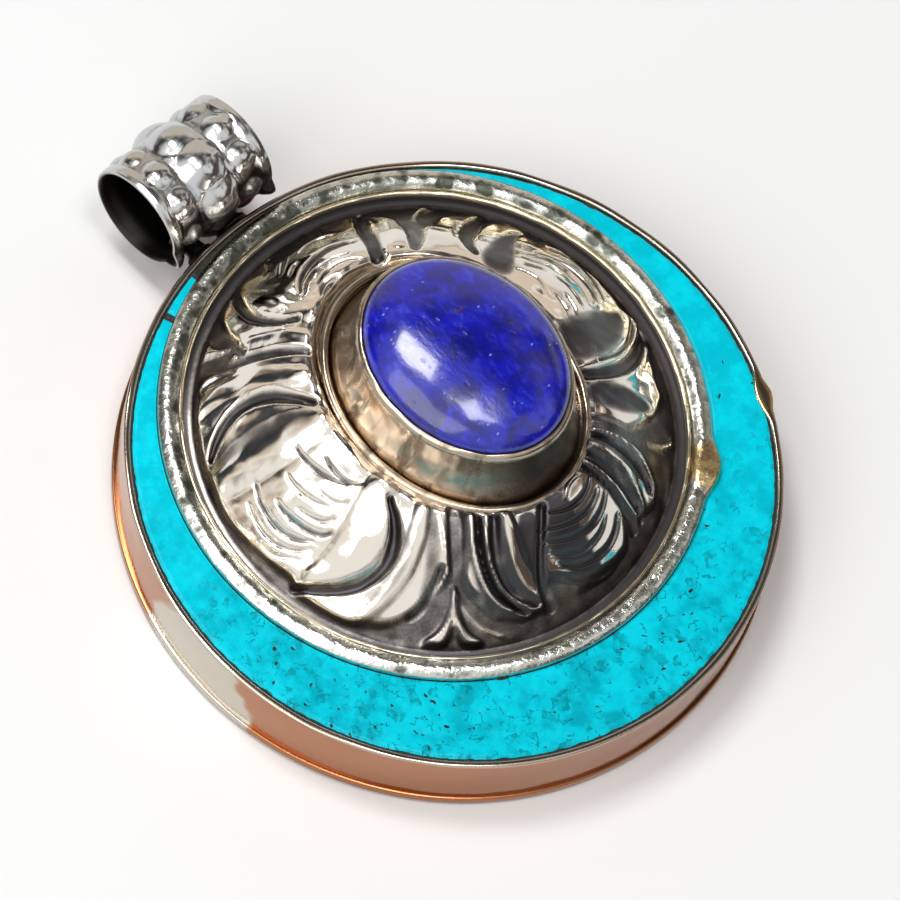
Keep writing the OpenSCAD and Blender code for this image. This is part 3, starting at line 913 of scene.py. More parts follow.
@dataclass
class Case:
    """The band with its seam, the ledge, and the stone inlay in its cement.

    Attributes:
        finishes: The materials.
        wall: Thickness of the band.
        rim_round: Rounding of its rim.
        wobble: How far the hand-bent strip wanders.
        seam_angle: Where its seam stands, in degrees from +X.
        seam_out: How far the solder stands out of the seam.
        seam_width: Half of the solder's width.
        seam_in: How far the solder runs over the rim and onto the stone.
        seam_spread: How much wider it is there.
        joint_out: Width of the cement line at the band.
        joint_in: Width of the cement line at the ring wire.
        stone_round: Rounding of the stone's edges.
        crescent: Angles in degrees between which the long stone lies.
        chip: Angles in degrees between which the short stone lies.
        cement_wave: Height of the cement's waves.
        pits: How many pits are scattered over a stone.
        pit_reach: Least and greatest distance of a pit from the middle.
        pit_size: Least and greatest radius of a pit.
        pit_down: Depth of a pit.
        pit_span: Angles in degrees between which pits lie.
        pit_crowd: Angles in degrees between which half of them are put.
    """

    finishes: Finishes
    wall: float = 0.4
    rim_round: float = 0.13
    wobble: float = 0.03
    seam_angle: float = -28.0
    seam_out: float = 0.22
    seam_width: float = 0.85
    seam_in: float = 0.40
    seam_spread: float = 2.4
    joint_out: float = 0.12
    joint_in: float = 0.05
    stone_round: float = 0.07
    crescent: Pair = (111.5, 415.0)
    chip: Pair = (101.5, 110.0)
    cement_wave: float = 0.045
    pits: int = 110
    pit_reach: Pair = (14.2, 18.5)
    pit_size: Pair = (0.10, 0.26)
    pit_down: float = 0.05
    pit_span: Pair = (-175.0, 40.0)
    pit_crowd: Pair = (-175.0, -75.0)

    def make(self) -> None:
        """Make the band, the inlay and its cement, and dress the ledge."""
        self._band()
        self._stone("turquoise_crescent", self.crescent, 620, 11)
        self._stone("turquoise_chip", self.chip, 30, 12)
        self._cement()
        dress_node("channel_ledge", self.finishes.inside)

    def _band(self) -> None:
        """Make the band, a little uneven as hand-bent strip is, with solder on its seam."""
        band = Extent.of("case_band")
        radius, low, top = -band.low.x, band.low.z, band.high.z
        inner, curve = radius - self.wall, self.rim_round
        section = (line((radius, low), (radius, top - curve), 26)
                   + arc((radius - curve, top - curve), curve, 0, 90, 5)
                   + arc((inner + curve, top - curve), curve, 90, 180, 5)
                   + line((inner, top - 2 * curve), (inner, low), 8)
                   + line((inner, low), (radius, low), 3))
        lattice = Lattice(480)
        places = revolve(section, lattice.turns)
        reach = np.array(section)[:, :1]
        height = (places[..., 2] - low) / (top - low)
        outer = ease((reach - inner - self.wall * 0.5) / (self.wall * 0.4))
        away = radius * np.radians(wrap(np.degrees(TURN * lattice.turns) - self.seam_angle))
        run = bump(away * (1 + 0.25 * np.sin(5 * height)), self.seam_width)
        push = outer * (self.seam_out * run * (0.6 + 0.4 * height)
                        + self.wobble * 0.5 * ripple(places, 8.0, 21)
                        + self.wobble * 0.25 * ripple(places, 3.0, 22))
        at_rim = ease((places[..., 2] - top + 0.22) / 0.12)
        flow = bump(away, self.seam_spread * self.seam_width) * at_rim
        push = push - self.seam_in * flow * (1 - outer)
        places[..., :2] *= (1 + push / radius)[..., None]
        places[..., 2] += ease(height * 3 - 2) * self.wobble * ripple(places * LEVEL, 5.0, 23)
        marks = 0.5 * ease((run - 0.2) * 2) * ease(1 - run) * outer
        finish_piece("case_band_formed", lattice.form(places, marks), self.finishes.polished,
                     Body.FRONT, ["case_band"])

    def _edges(self, turns: Array, gap_out: float = 0.0, gap_in: float = 0.0
               ) -> tuple[Array, Array]:
        """Inner and outer reach of the inlay channel, less its gaps, at each turn.

        Args:
            turns: Shares of a turn about the case's axis.
            gap_out: Gap to the band.
            gap_in: Gap to the ring wire, which stands off the axis.

        Returns:
            Distances from the case's axis to the ring's side and to the band's side.
        """
        ring = Extent.of("ring_wire")
        inner = -Extent.of("case_band").low.x - self.wall
        angles = TURN * turns
        along = ring.centre.x * np.cos(angles) + ring.centre.y * np.sin(angles)
        across = ring.centre.x * np.sin(angles) - ring.centre.y * np.cos(angles)
        near = along + np.sqrt((ring.half.x + gap_in) ** 2 - across ** 2)
        return near, np.full_like(near, inner - gap_out)

    def _stone(self, node: str, span: Pair, steps: int, seed: int) -> None:
        """Make one stone of the inlay, with rounded edges, an uneven polish and pits.

        Args:
            node: The construction node that it stands for.
            span: Angles in degrees at its two ends.
            steps: Steps along it.
            seed: Picks its unevenness and its pits.
        """
        box = Extent.of(node)
        face = np.linspace(0, 1, 34)
        side, back = [0.85, 0.6, 0.35, 0.1, 0.0], [0.0, 0.4, 0.8]
        share = np.concatenate([face, np.ones(len(side)), [0.6, 0.4], np.zeros(len(back))])
        level = np.concatenate([np.ones(len(face)), side, [0, 0], back])[:, None]
        share = 0.5 - 0.5 * np.cos(math.pi * share) * 0.35 - (0.5 - share) * 0.65
        share = share[:, None]
        lattice = Lattice(steps, Closure.STRIP)
        turns = (span[0] + (span[1] - span[0]) * lattice.turns) / 360.0
        near, far = self._edges(turns, self.joint_out, self.joint_in)
        reach = near + (far - near) * share
        places = around(reach, turns, box.low.z + (box.high.z - box.low.z) * level)
        upper = level == 1
        rim = np.minimum(reach - near, far - reach)
        ends = np.minimum(lattice.turns, 1 - lattice.turns) * (span[1] - span[0])
        rim = np.minimum(rim, np.radians(ends) * reach)
        fall = self.stone_round * (1 - ease(rim / (3 * self.stone_round)))
        ragged = 0.5 * self.joint_out * ripple(places * LEVEL, 1.1, seed)
        inward = np.where(share > 0.97, -np.abs(ragged) * 0.8, 0)
        swell = 0.012 * ripple(places, 2.8, seed + 1) + 0.006 * ripple(places, 0.9, seed + 2)
        pits, depth = self._pitting(places, seed)
        places[..., 2] += upper * (swell - fall - depth)
        push_out(places, turns, inward)
        finish_piece(node + "_cut", lattice.form(places, pits * upper), self.finishes.turquoise,
                     Body.FRONT, [node])

    def _pitting(self, places: Array, seed: int) -> tuple[Array, Array]:
        """Scatter small dark pits, thickest away from the bail.

        Args:
            places: Places of the stone's points.
            seed: Picks the pits.

        Returns:
            How dark and how deep the stone is at each point.
        """
        rng = np.random.default_rng(seed)
        dark, deep = np.zeros(places.shape[:2]), np.zeros(places.shape[:2])
        for _ in range(self.pits):
            turn = math.radians(rng.choice([rng.uniform(*self.pit_crowd),
                                            rng.uniform(*self.pit_span)]))
            reach = rng.uniform(*self.pit_reach)
            size = rng.uniform(*self.pit_size)
            lean = rng.uniform(0, math.pi)
            away = places[..., :2] - (reach * math.cos(turn), reach * math.sin(turn))
            along = away[..., 0] * math.cos(lean) + away[..., 1] * math.sin(lean)
            aside = away[..., 1] * math.cos(lean) - away[..., 0] * math.sin(lean)
            spot = bump(np.hypot(along * 0.7, aside * 1.9), size)
            dark = np.maximum(dark, spot * rng.uniform(0.4, 1.0))
            deep = np.maximum(deep, spot * self.pit_down)
        return dark, deep

    def _cement(self) -> None:
        """Make the cement bed, which shows as a dark line on both sides of the stone."""
        box = Extent.of("inlay_cement")
        out, back = np.linspace(0, 1, 12), np.linspace(1, 0, 8)
        share = np.concatenate([out, back])[:, None]
        level = np.concatenate([np.ones(len(out)), np.zeros(len(back))])[:, None]
        lattice = Lattice(720)
        near, far = self._edges(lattice.turns)
        places = around(near + (far - near) * share, lattice.turns,
                        box.low.z + box.half.z * 2 * level)
        places[..., 2] += level * self.cement_wave * ripple(places * LEVEL, 1.4, 31)
        finish_piece("inlay_cement_bed", lattice.form(places), self.finishes.cement,
                     Body.FRONT, ["inlay_cement"])


@dataclass(frozen=True)
class Stroke:
    """A tapering stroke of the chasing tool through three places of the disc.

    Attributes:
        start: Its angle in degrees from +X, share of the way out and half-width in millimetres.
        middle: The same, halfway.
        end: The same, at its end.
        strength: How strongly it marks.
    """

    start: Place
    middle: Place
    end: Place
    strength: float = 1.0

    def mark(self, degrees: Array, out: Array, reach: Array, span: float,
             power: float = 1.0) -> Array:
        """How strongly the stroke marks each point.

        Args:
            degrees: Angles of the points.
            out: Shares of the way out.
            reach: Distances from the disc's middle in millimetres.
            span: Millimetres from share 0 to share 1.
            power: Sharpens the mark's profile above 1 and fills it below.

        Returns:
            Marks of 0 to the stroke's strength.
        """
        best = np.zeros_like(degrees)
        near = np.abs(wrap(degrees - self.middle[0])) < 26.0
        degrees, out, reach = degrees[near], out[near], reach[near]
        start, middle, end = (np.array(place) for place in (self.start, self.middle, self.end))
        t = np.linspace(0, 1, 11)[:, None]
        bend = 2 * middle - (start + end) / 2
        path = (1 - t) ** 2 * start + 2 * t * (1 - t) * bend + t ** 2 * end
        scale = math.radians(1) * reach
        marked = np.zeros_like(degrees)
        for (angle, share, width), step in zip(path[:-1], np.diff(path, axis=0)):
            way_x, way_y = step[0] * scale, step[1] * span
            x, y = wrap(degrees - angle) * scale, (out - share) * span
            k = np.clip((x * way_x + y * way_y) / (way_x ** 2 + way_y ** 2), 0, 1)
            away = (x - k * way_x) ** 2 + (y - k * way_y) ** 2
            marked = np.maximum(marked, 1 - away / (width + step[2] * k) ** 2)
        best[near] = np.clip(marked, 0, 1) ** power * self.strength
        return best


@dataclass(frozen=True)
class Shell:
    """A swollen panel between two leaves, which the cuts of a shell cross.

    Attributes:
        middle: Angle of its middle in degrees.
        half: Half of its width in degrees.
        low: Share of the way out where it starts.
        high: Share of the way out where it ends.
    """

    middle: float
    half: float
    low: float
    high: float

    def swell(self, degrees: Array, out: Array) -> Array:
        """How far the panel rises at each point.

        Args:
            degrees: Angles of the points.
            out: Shares of the way out.

        Returns:
            Shares of the height of its crown.
        """
        side = -wrap(degrees - self.middle) / self.half
        arch = 1 - np.minimum(side ** 2, 1)
        row = (out - self.low) / (self.high - self.low)
        return arch * ease((1 - np.abs(side)) / 0.22) * ease(row / 0.2) * ease((1.02 - row) / 0.1)


@dataclass(frozen=True)
class Chasing:
    """The pattern of the disc: four shells between leaves, with valleys and buds, and strokes of
    painted shade.

    Attributes:
        leaf: Height of the raised leaves.
        petal: Height of the soft domes along them.
        cut: Depth of the cuts that cross a shell.
        crown: Height of a shell over the leaves.
        vein: Height of the thin veins.
        groove: Depth of the grooves.
        span: Millimetres from the land to the border, which is share 0 to 1 of the way out.
        outline: Share of the way out where the leaves end, at angles in degrees from +X.
        valleys: Plain ground between the four fields.
        buds: Raised buds in the valleys.
        grooves: Deep lines that part the leaves.
        petals: Soft domes along the leaves.
        hollows: Wide and shallow dips.
        veins: Thin raised lines.
        shells: The swollen panels.
        cuts: Cuts that cross the shells.
        painted_shades: Strokes of painted shade and dark reflection on smooth ground, with no
            height.
    """

    leaf: float = 0.40
    petal: float = 0.34
    cut: float = 0.26
    crown: float = 0.22
    vein: float = 0.16
    groove: float = 0.60
    span: float = 6.07
    outline: tuple[Pair, ...] = (
        (0, 0.97), (12, 0.98), (17, 1.02), (20, 0.95), (25, 1.02), (32.3, 1.03), (40.5, 0.93),
        (45, 0.82), (49, 0.58), (55, 0.4), (58.5, 0.72), (62, 0.9), (65, 1), (75, 1.02),
        (77, 0.82), (90, 0.8), (92, 1.02), (100, 1.03), (107, 1.03), (113, 0.95), (119, 0.7),
        (125, 0.72), (128, 0.93), (132, 1), (140, 1.02), (150, 1.0), (163, 1.0), (175, 0.96),
        (187, 0.92), (190, 0.98), (203, 1.0), (214, 0.9), (219, 0.8), (225, 0.6), (229, 0.4),
        (233, 0.6), (240, 0.8), (247, 0.86), (254, 0.84), (256, 0.62), (258.6, 0.64), (267, 0.8),
        (275.5, 0.87), (280.5, 0.86), (284, 0.75), (286.5, 0.6), (288.5, 0.8), (290.9, 0.82),
        (296, 0.9), (301, 0.86), (304.8, 0.66), (308, 0.4), (311, 0.5), (316.8, 0.7), (321, 0.83),
        (326, 0.93), (330.5, 0.9), (340, 0.97), (344, 0.97), (348.6, 1.04), (352, 0.95),
        (360, 0.97))
    valleys: tuple[Stroke, ...] = (
        Stroke((128, 1.02, 0.3), (125.6, 0.5, 0.36), (126, -0.02, 0.25)),
        Stroke((111, 1, 0.3), (118, 0.78, 0.3), (123, 0.6, 0.3)),
        Stroke((57.5, 1, 0.6), (55, 0.5, 0.75), (59, 0.03, 0.3)),
        Stroke((306, 0.95, 0.6), (307, 0.5, 0.5), (303, -0.02, 0.4)),
        Stroke((318, 0.95, 0.3), (312, 0.7, 0.3), (309, 0.55, 0.3)),
        Stroke((229.5, 0.55, 0.3), (228.8, 0.3, 0.5), (227.5, -0.02, 0.5)),
        Stroke((244, 0.95, 0.3), (236.5, 0.76, 0.26), (230, 0.55, 0.25)),
        Stroke((214, 0.96, 0.3), (222.5, 0.74, 0.26), (227.5, 0.52, 0.25)))
    buds: tuple[Stroke, ...] = (
        Stroke((228.8, 0.54, 0.12), (231, 0.82, 0.34), (235.5, 0.97, 0.42)),
        Stroke((228.8, 0.54, 0.12), (228.3, 0.8, 0.36), (224.5, 0.97, 0.5)),
        Stroke((121, 0.72, 0.05), (121, 0.9, 0.35), (120, 1.06, 1)),
        Stroke((53.2, 0.64, 0.06), (51, 0.84, 0.16), (47.5, 1.02, 0.5), 0.9),
        Stroke((310, 0.66, 0.06), (312, 0.84, 0.16), (315, 1, 0.4), 0.9))
    grooves: tuple[Stroke, ...] = (
        Stroke((189, 0.94, 0.15), (207.8, 0.5, 0.45), (201, 0.08, 0.22)),
        Stroke((150.5, 0.9, 0.15), (139.8, 0.5, 0.47), (148, 0.02, 0.25)),
        Stroke((131.4, 0.92, 0.1), (129.6, 0.8, 0.22), (128.2, 0.64, 0.08), 0.7),
        Stroke((218, 0.8, 0.1), (222, 0.64, 0.2), (224.5, 0.42, 0.15), 0.7),
        Stroke((102.5, 1, 0.2), (112.8, 0.52, 0.28), (113, 0.12, 0.2), 0.9),
        Stroke((64.6, 1, 0.18), (68.8, 0.48, 0.5), (74, -0.05, 0.5)),
        Stroke((391.4, 1.02, 0.35), (398.4, 0.48, 0.55), (396, 0.14, 0.35)),
        Stroke((347.5, 0.93, 0.1), (338.8, 0.62, 0.14), (331.3, 0.2, 0.1), 0.7),
        Stroke((346, 1, 0.25), (332, 0.52, 0.5), (324, -0.02, 0.45)),
        Stroke((297.7, 0.77, 0.15), (300.9, 0.42, 0.34), (297, -0.02, 0.25), 0.9),
        Stroke((289.8, 0.82, 0.1), (291.3, 0.42, 0.28), (288.8, -0.02, 0.25), 0.9),
        Stroke((286, 0.8, 0.2), (287, 0.42, 0.18), (283.5, -0.04, 0.2), 0.9),
        Stroke((255, 0.82, 0.3), (254.8, 0.45, 0.26), (261, 0, 0.25)),
        Stroke((252, 0.77, 0.1), (242.6, 0.45, 0.32), (242.5, 0, 0.25), 0.7),
        Stroke((248.7, 0.8, 0.1), (238.6, 0.48, 0.22), (236, 0, 0.2), 0.9),
        Stroke((400.5, 0.7, 0.06), (402, 0.5, 0.1), (403, 0.3, 0.06), 0.6))
    petals: tuple[Stroke, ...] = (
        Stroke((192, 0.82, 0.7), (198.5, 0.5, 1.5), (196, 0.08, 1)),
        Stroke((158, 0.92, 0.7), (155.5, 0.55, 1.5), (157, 0.1, 1)),
        Stroke((206, 0.93, 0.3), (213.4, 0.5, 0.65), (214.5, 0.05, 0.5), 0.7),
        Stroke((138, 1, 0.5), (133.5, 0.6, 0.7), (136, 0.08, 0.6), 0.7),
        Stroke((291.5, 0.8, 0.15), (295.6, 0.4, 0.5), (293, -0.02, 0.4), 0.8),
        Stroke((253, 0.74, 0.15), (248.3, 0.42, 0.6), (246, -0.02, 0.5), 0.8),
        Stroke((297, 0.86, 0.2), (304, 0.5, 0.35), (299.5, 0, 0.3), 0.5),
        Stroke((245, 0.76, 0.15), (236.8, 0.5, 0.3), (233.6, 0, 0.3), 0.6),
        Stroke((120, 0.55, 0.2), (120.5, 0.3, 0.5), (121, 0.02, 0.5), 0.5),
        Stroke((104, 0.95, 0.4), (106.5, 0.5, 0.7), (110, 0.05, 0.6), 0.4),
        Stroke((60.5, 0.8, 0.3), (61, 0.5, 0.7), (64.5, 0.1, 0.5), 0.5),
        Stroke((342, 0.93, 0.1), (331, 0.62, 0.3), (322.5, 0.1, 0.25), 0.3))
    hollows: tuple[Stroke, ...] = (
        Stroke((384, 0.86, 0.1), (386, 0.5, 1), (385, 0.1, 1.2), 0.5),
        Stroke((350.5, 0.86, 0.3), (345.5, 0.45, 1.5), (341, 0.05, 1.5), 0.45),
        Stroke((318, 0.72, 0.5), (320, 0.45, 0.8), (316, 0.15, 0.8), 0.4),
        Stroke((152, 0.85, 0.8), (149.5, 0.55, 1.3), (151, 0.2, 1), 0.35),
        Stroke((192, 0.86, 0.7), (199, 0.62, 1.1), (199, 0.3, 0.8), 0.3),
        Stroke((252.5, 0.74, 0.2), (250, 0.5, 0.6), (252, 0.2, 0.8), 0.4),
        Stroke((120.5, 0.55, 0.2), (121, 0.3, 0.4), (122, 0.02, 0.5), 0.4),
        Stroke((63.5, 0.9, 0.1), (63.5, 0.6, 0.3), (67, 0.2, 0.4), 0.3))
    veins: tuple[Stroke, ...] = (
        Stroke((197, 0.78, 0.07), (206.5, 0.46, 0.1), (201, 0.12, 0.07)),
        Stroke((145, 0.68, 0.07), (141.3, 0.4, 0.1), (146.5, 0.08, 0.07)),
        Stroke((249, 0.69, 0.08), (239.9, 0.46, 0.11), (239.5, -0.03, 0.09)),
        Stroke((242, 0.925, 0.07), (234.6, 0.77, 0.1), (229.7, 0.56, 0.07)),
        Stroke((226, 0.5, 0.06), (224.9, 0.27, 0.09), (221.5, 0.03, 0.06)),
        Stroke((377, 0.585, 0.08), (367, 0.675, 0.12), (354.5, 0.58, 0.08)),
        Stroke((276, 0.85, 0.07), (268, 0.82, 0.1), (258.8, 0.61, 0.07)),
        Stroke((280, 0.01, 0.06), (274.5, -0.02, 0.14), (269.5, 0.07, 0.06)),
        Stroke((297.5, 0.7, 0.06), (295.5, 0.4, 0.15), (292.5, 0, 0.1)))
    shells: tuple[Shell, ...] = (
        Shell(175.5, 13.5, 0.05, 0.9), Shell(88, 13, -0.08, 0.8),
        Shell(366, 14, 0.05, 0.95), Shell(271, 14.2, -0.02, 0.85))
    cuts: tuple[Stroke, ...] = (
        Stroke((90.3, 0.96, 0.10), (92.8, 0.84, 0.18), (97, 0.68, 0.06)),
        Stroke((90, 0.77, 0.07), (93, 0.69, 0.15), (97, 0.59, 0.05)),
        Stroke((91.5, 0.555, 0.05), (94.3, 0.53, 0.11), (97.2, 0.48, 0.04), 0.9),
        Stroke((102.5, 0.23, 0.08), (91, 0.40, 0.36), (77.8, 0.37, 0.34)),
        Stroke((103, 0.17, 0.06), (93, 0.26, 0.11), (82, 0.16, 0.05)),
        Stroke((87.2, 0.66, 0.05), (82, 0.72, 0.15), (77.3, 0.67, 0.22)),
        Stroke((98.5, 0.10, 0.05), (89, 0.115, 0.14), (80.3, 0.01, 0.06)),
        Stroke((102, -0.01, 0.06), (97.5, 0.035, 0.16), (92, -0.02, 0.05), 0.9),
        Stroke((185, 0.78, 0.05), (181, 0.85, 0.13), (176, 0.87, 0.05), 0.7),
        Stroke((187, 0.66, 0.05), (179, 0.80, 0.12), (166.5, 0.785, 0.05), 0.8),
        Stroke((186, 0.62, 0.06), (176, 0.725, 0.13), (163, 0.67, 0.06), 0.9),
        Stroke((189.3, 0.49, 0.05), (183.5, 0.59, 0.16), (171, 0.62, 0.05), 0.9),
        Stroke((187.3, 0.41, 0.07), (184.5, 0.49, 0.11), (177, 0.545, 0.04), 0.8),
        Stroke((186, 0.35, 0.06), (178, 0.44, 0.10), (167, 0.46, 0.05), 0.7),
        Stroke((188, 0.26, 0.07), (185, 0.33, 0.10), (178, 0.36, 0.04), 0.7),
        Stroke((184, 0.18, 0.07), (173, 0.265, 0.16), (161.5, 0.30, 0.06)),
        Stroke((188, 0.10, 0.05), (181.5, 0.175, 0.13), (171, 0.165, 0.06), 0.9),
        Stroke((375.8, 0.84, 0.07), (366, 0.90, 0.20), (355.5, 0.77, 0.08)),
        Stroke((377, 0.64, 0.08), (366, 0.735, 0.22), (354.8, 0.655, 0.09)),
        Stroke((379.5, 0.51, 0.09), (368, 0.62, 0.12), (355, 0.52, 0.07), 0.7),
        Stroke((380, 0.40, 0.10), (377, 0.43, 0.12), (373, 0.53, 0.05), 0.8),
        Stroke((377.5, 0.30, 0.10), (374.5, 0.35, 0.11), (371, 0.41, 0.04), 0.8),
        Stroke((367, 0.42, 0.04), (360, 0.43, 0.11), (354, 0.40, 0.07), 0.8),
        Stroke((359, 0.31, 0.11), (354.5, 0.29, 0.11), (350.3, 0.25, 0.04), 0.9),
        Stroke((379, 0.18, 0.09), (371, 0.21, 0.09), (364, 0.13, 0.04), 0.7),
        Stroke((362, 0.20, 0.04), (356, 0.19, 0.09), (349.5, 0.13, 0.05), 0.7),
        Stroke((283.8, 0.56, 0.09), (273, 0.69, 0.18), (260, 0.53, 0.08)),
        Stroke((280, 0.46, 0.05), (270, 0.56, 0.14), (258, 0.42, 0.07), 0.8),
        Stroke((284, 0.335, 0.09), (272, 0.43, 0.18), (257, 0.30, 0.07)),
        Stroke((282, 0.24, 0.06), (272, 0.30, 0.15), (256.5, 0.19, 0.07), 0.9),
        Stroke((283.3, 0.10, 0.09), (274, 0.175, 0.18), (262, 0.09, 0.07)))
    # Strokes of painted shade, which stand in for shade and dark reflections on flanks and
    # hollows.
    painted_shades: tuple[Stroke, ...] = (
        Stroke((350, 0.8, 0.35), (345, 0.45, 1.35), (340, 0.05, 1.45), 0.75),
        Stroke((320.5, 0.64, 0.4), (318.5, 0.36, 0.95), (314.5, 0, 0.65), 0.75),
        Stroke((384.2, 0.84, 0.1), (386.5, 0.5, 0.7), (386.5, 0.15, 1.1), 0.75),
        Stroke((255, 0.62, 0.3), (252.5, 0.35, 0.75), (254, 0.08, 0.6), 0.85),
        Stroke((250, 0.68, 0.1), (242.8, 0.4, 0.4), (242, 0.02, 0.45), 0.55),
        Stroke((243, 0.72, 0.15), (236.6, 0.42, 0.2), (236, 0, 0.28), 0.6),
        Stroke((219, 0.78, 0.2), (221.5, 0.45, 0.45), (219, 0.05, 0.5), 0.5),
        Stroke((206, 0.84, 0.2), (213, 0.42, 0.35), (206, 0.06, 0.3), 0.4),
        Stroke((270, 0.75, 0.4), (264.5, 0.4, 1.2), (266, 0.05, 0.8), 1),
        Stroke((301.5, 0.6, 0.2), (298.5, 0.3, 0.3), (297, 0.05, 0.3), 0.6),
        Stroke((294.5, 0.6, 0.1), (293, 0.3, 0.35), (290.5, 0, 0.35), 0.6),
        Stroke((184, 0.09, 0.1), (177, 0.12, 0.28), (166, 0.19, 0.15), 0.4),
        Stroke((152.5, 0.85, 0.3), (150, 0.55, 0.85), (151.5, 0.15, 0.6), 0.4),
        Stroke((374, 0.78, 0.2), (366, 0.81, 0.4), (357, 0.73, 0.2), 0.4))

    def shape(self, degrees: Array, out: Array, reach: Array) -> tuple[Array, Array]:
        """Height of the chasing over the plain dome, and how dark its patina and painted shade
        are.

        Args:
            degrees: Angles counter-clockwise from +X.
            out: Shares of the way from the land to the border.
            reach: Distances from the disc's middle in millimetres.

        Returns:
            Heights in millimetres and marks of 0 to 1.
        """
        def strongest(strokes: Sequence[Stroke], power: float = 1.0) -> Array:
            """The strongest mark of a list of strokes."""
            return np.max([stroke.mark(degrees, out, reach, self.span, power)
                           for stroke in strokes], axis=0)

        ends = np.interp(degrees % 360, *np.array(self.outline).T)
        plate = ease((ends - out) / 0.07) * (1 - ease(1.6 * strongest(self.valleys)))
        raised = np.maximum(plate, ease(1.4 * strongest(self.buds)))
        cut = strongest(self.grooves, 0.85)
        hollow = strongest(self.hollows, 1.5)
        crease = strongest(self.cuts, 0.9)
        vein = strongest(self.veins)
        swell = np.max([shell.swell(degrees, out) for shell in self.shells], axis=0)
        height = (self.leaf * raised + self.crown * swell + self.vein * vein
                  + self.petal * strongest(self.petals, 0.8) * plate
                  - self.groove * np.maximum(cut, 0.6 * hollow) - self.cut * crease)
        marks = np.maximum.reduce([0.58 * (1 - raised), 0.85 * ease(1.5 * cut - 0.25),
                                   0.75 * ease(1.6 * crease - 0.4), 0.25 * hollow,
                                   strongest(self.painted_shades, 0.3)]) * (1 - 0.7 * vein)
        return height, marks


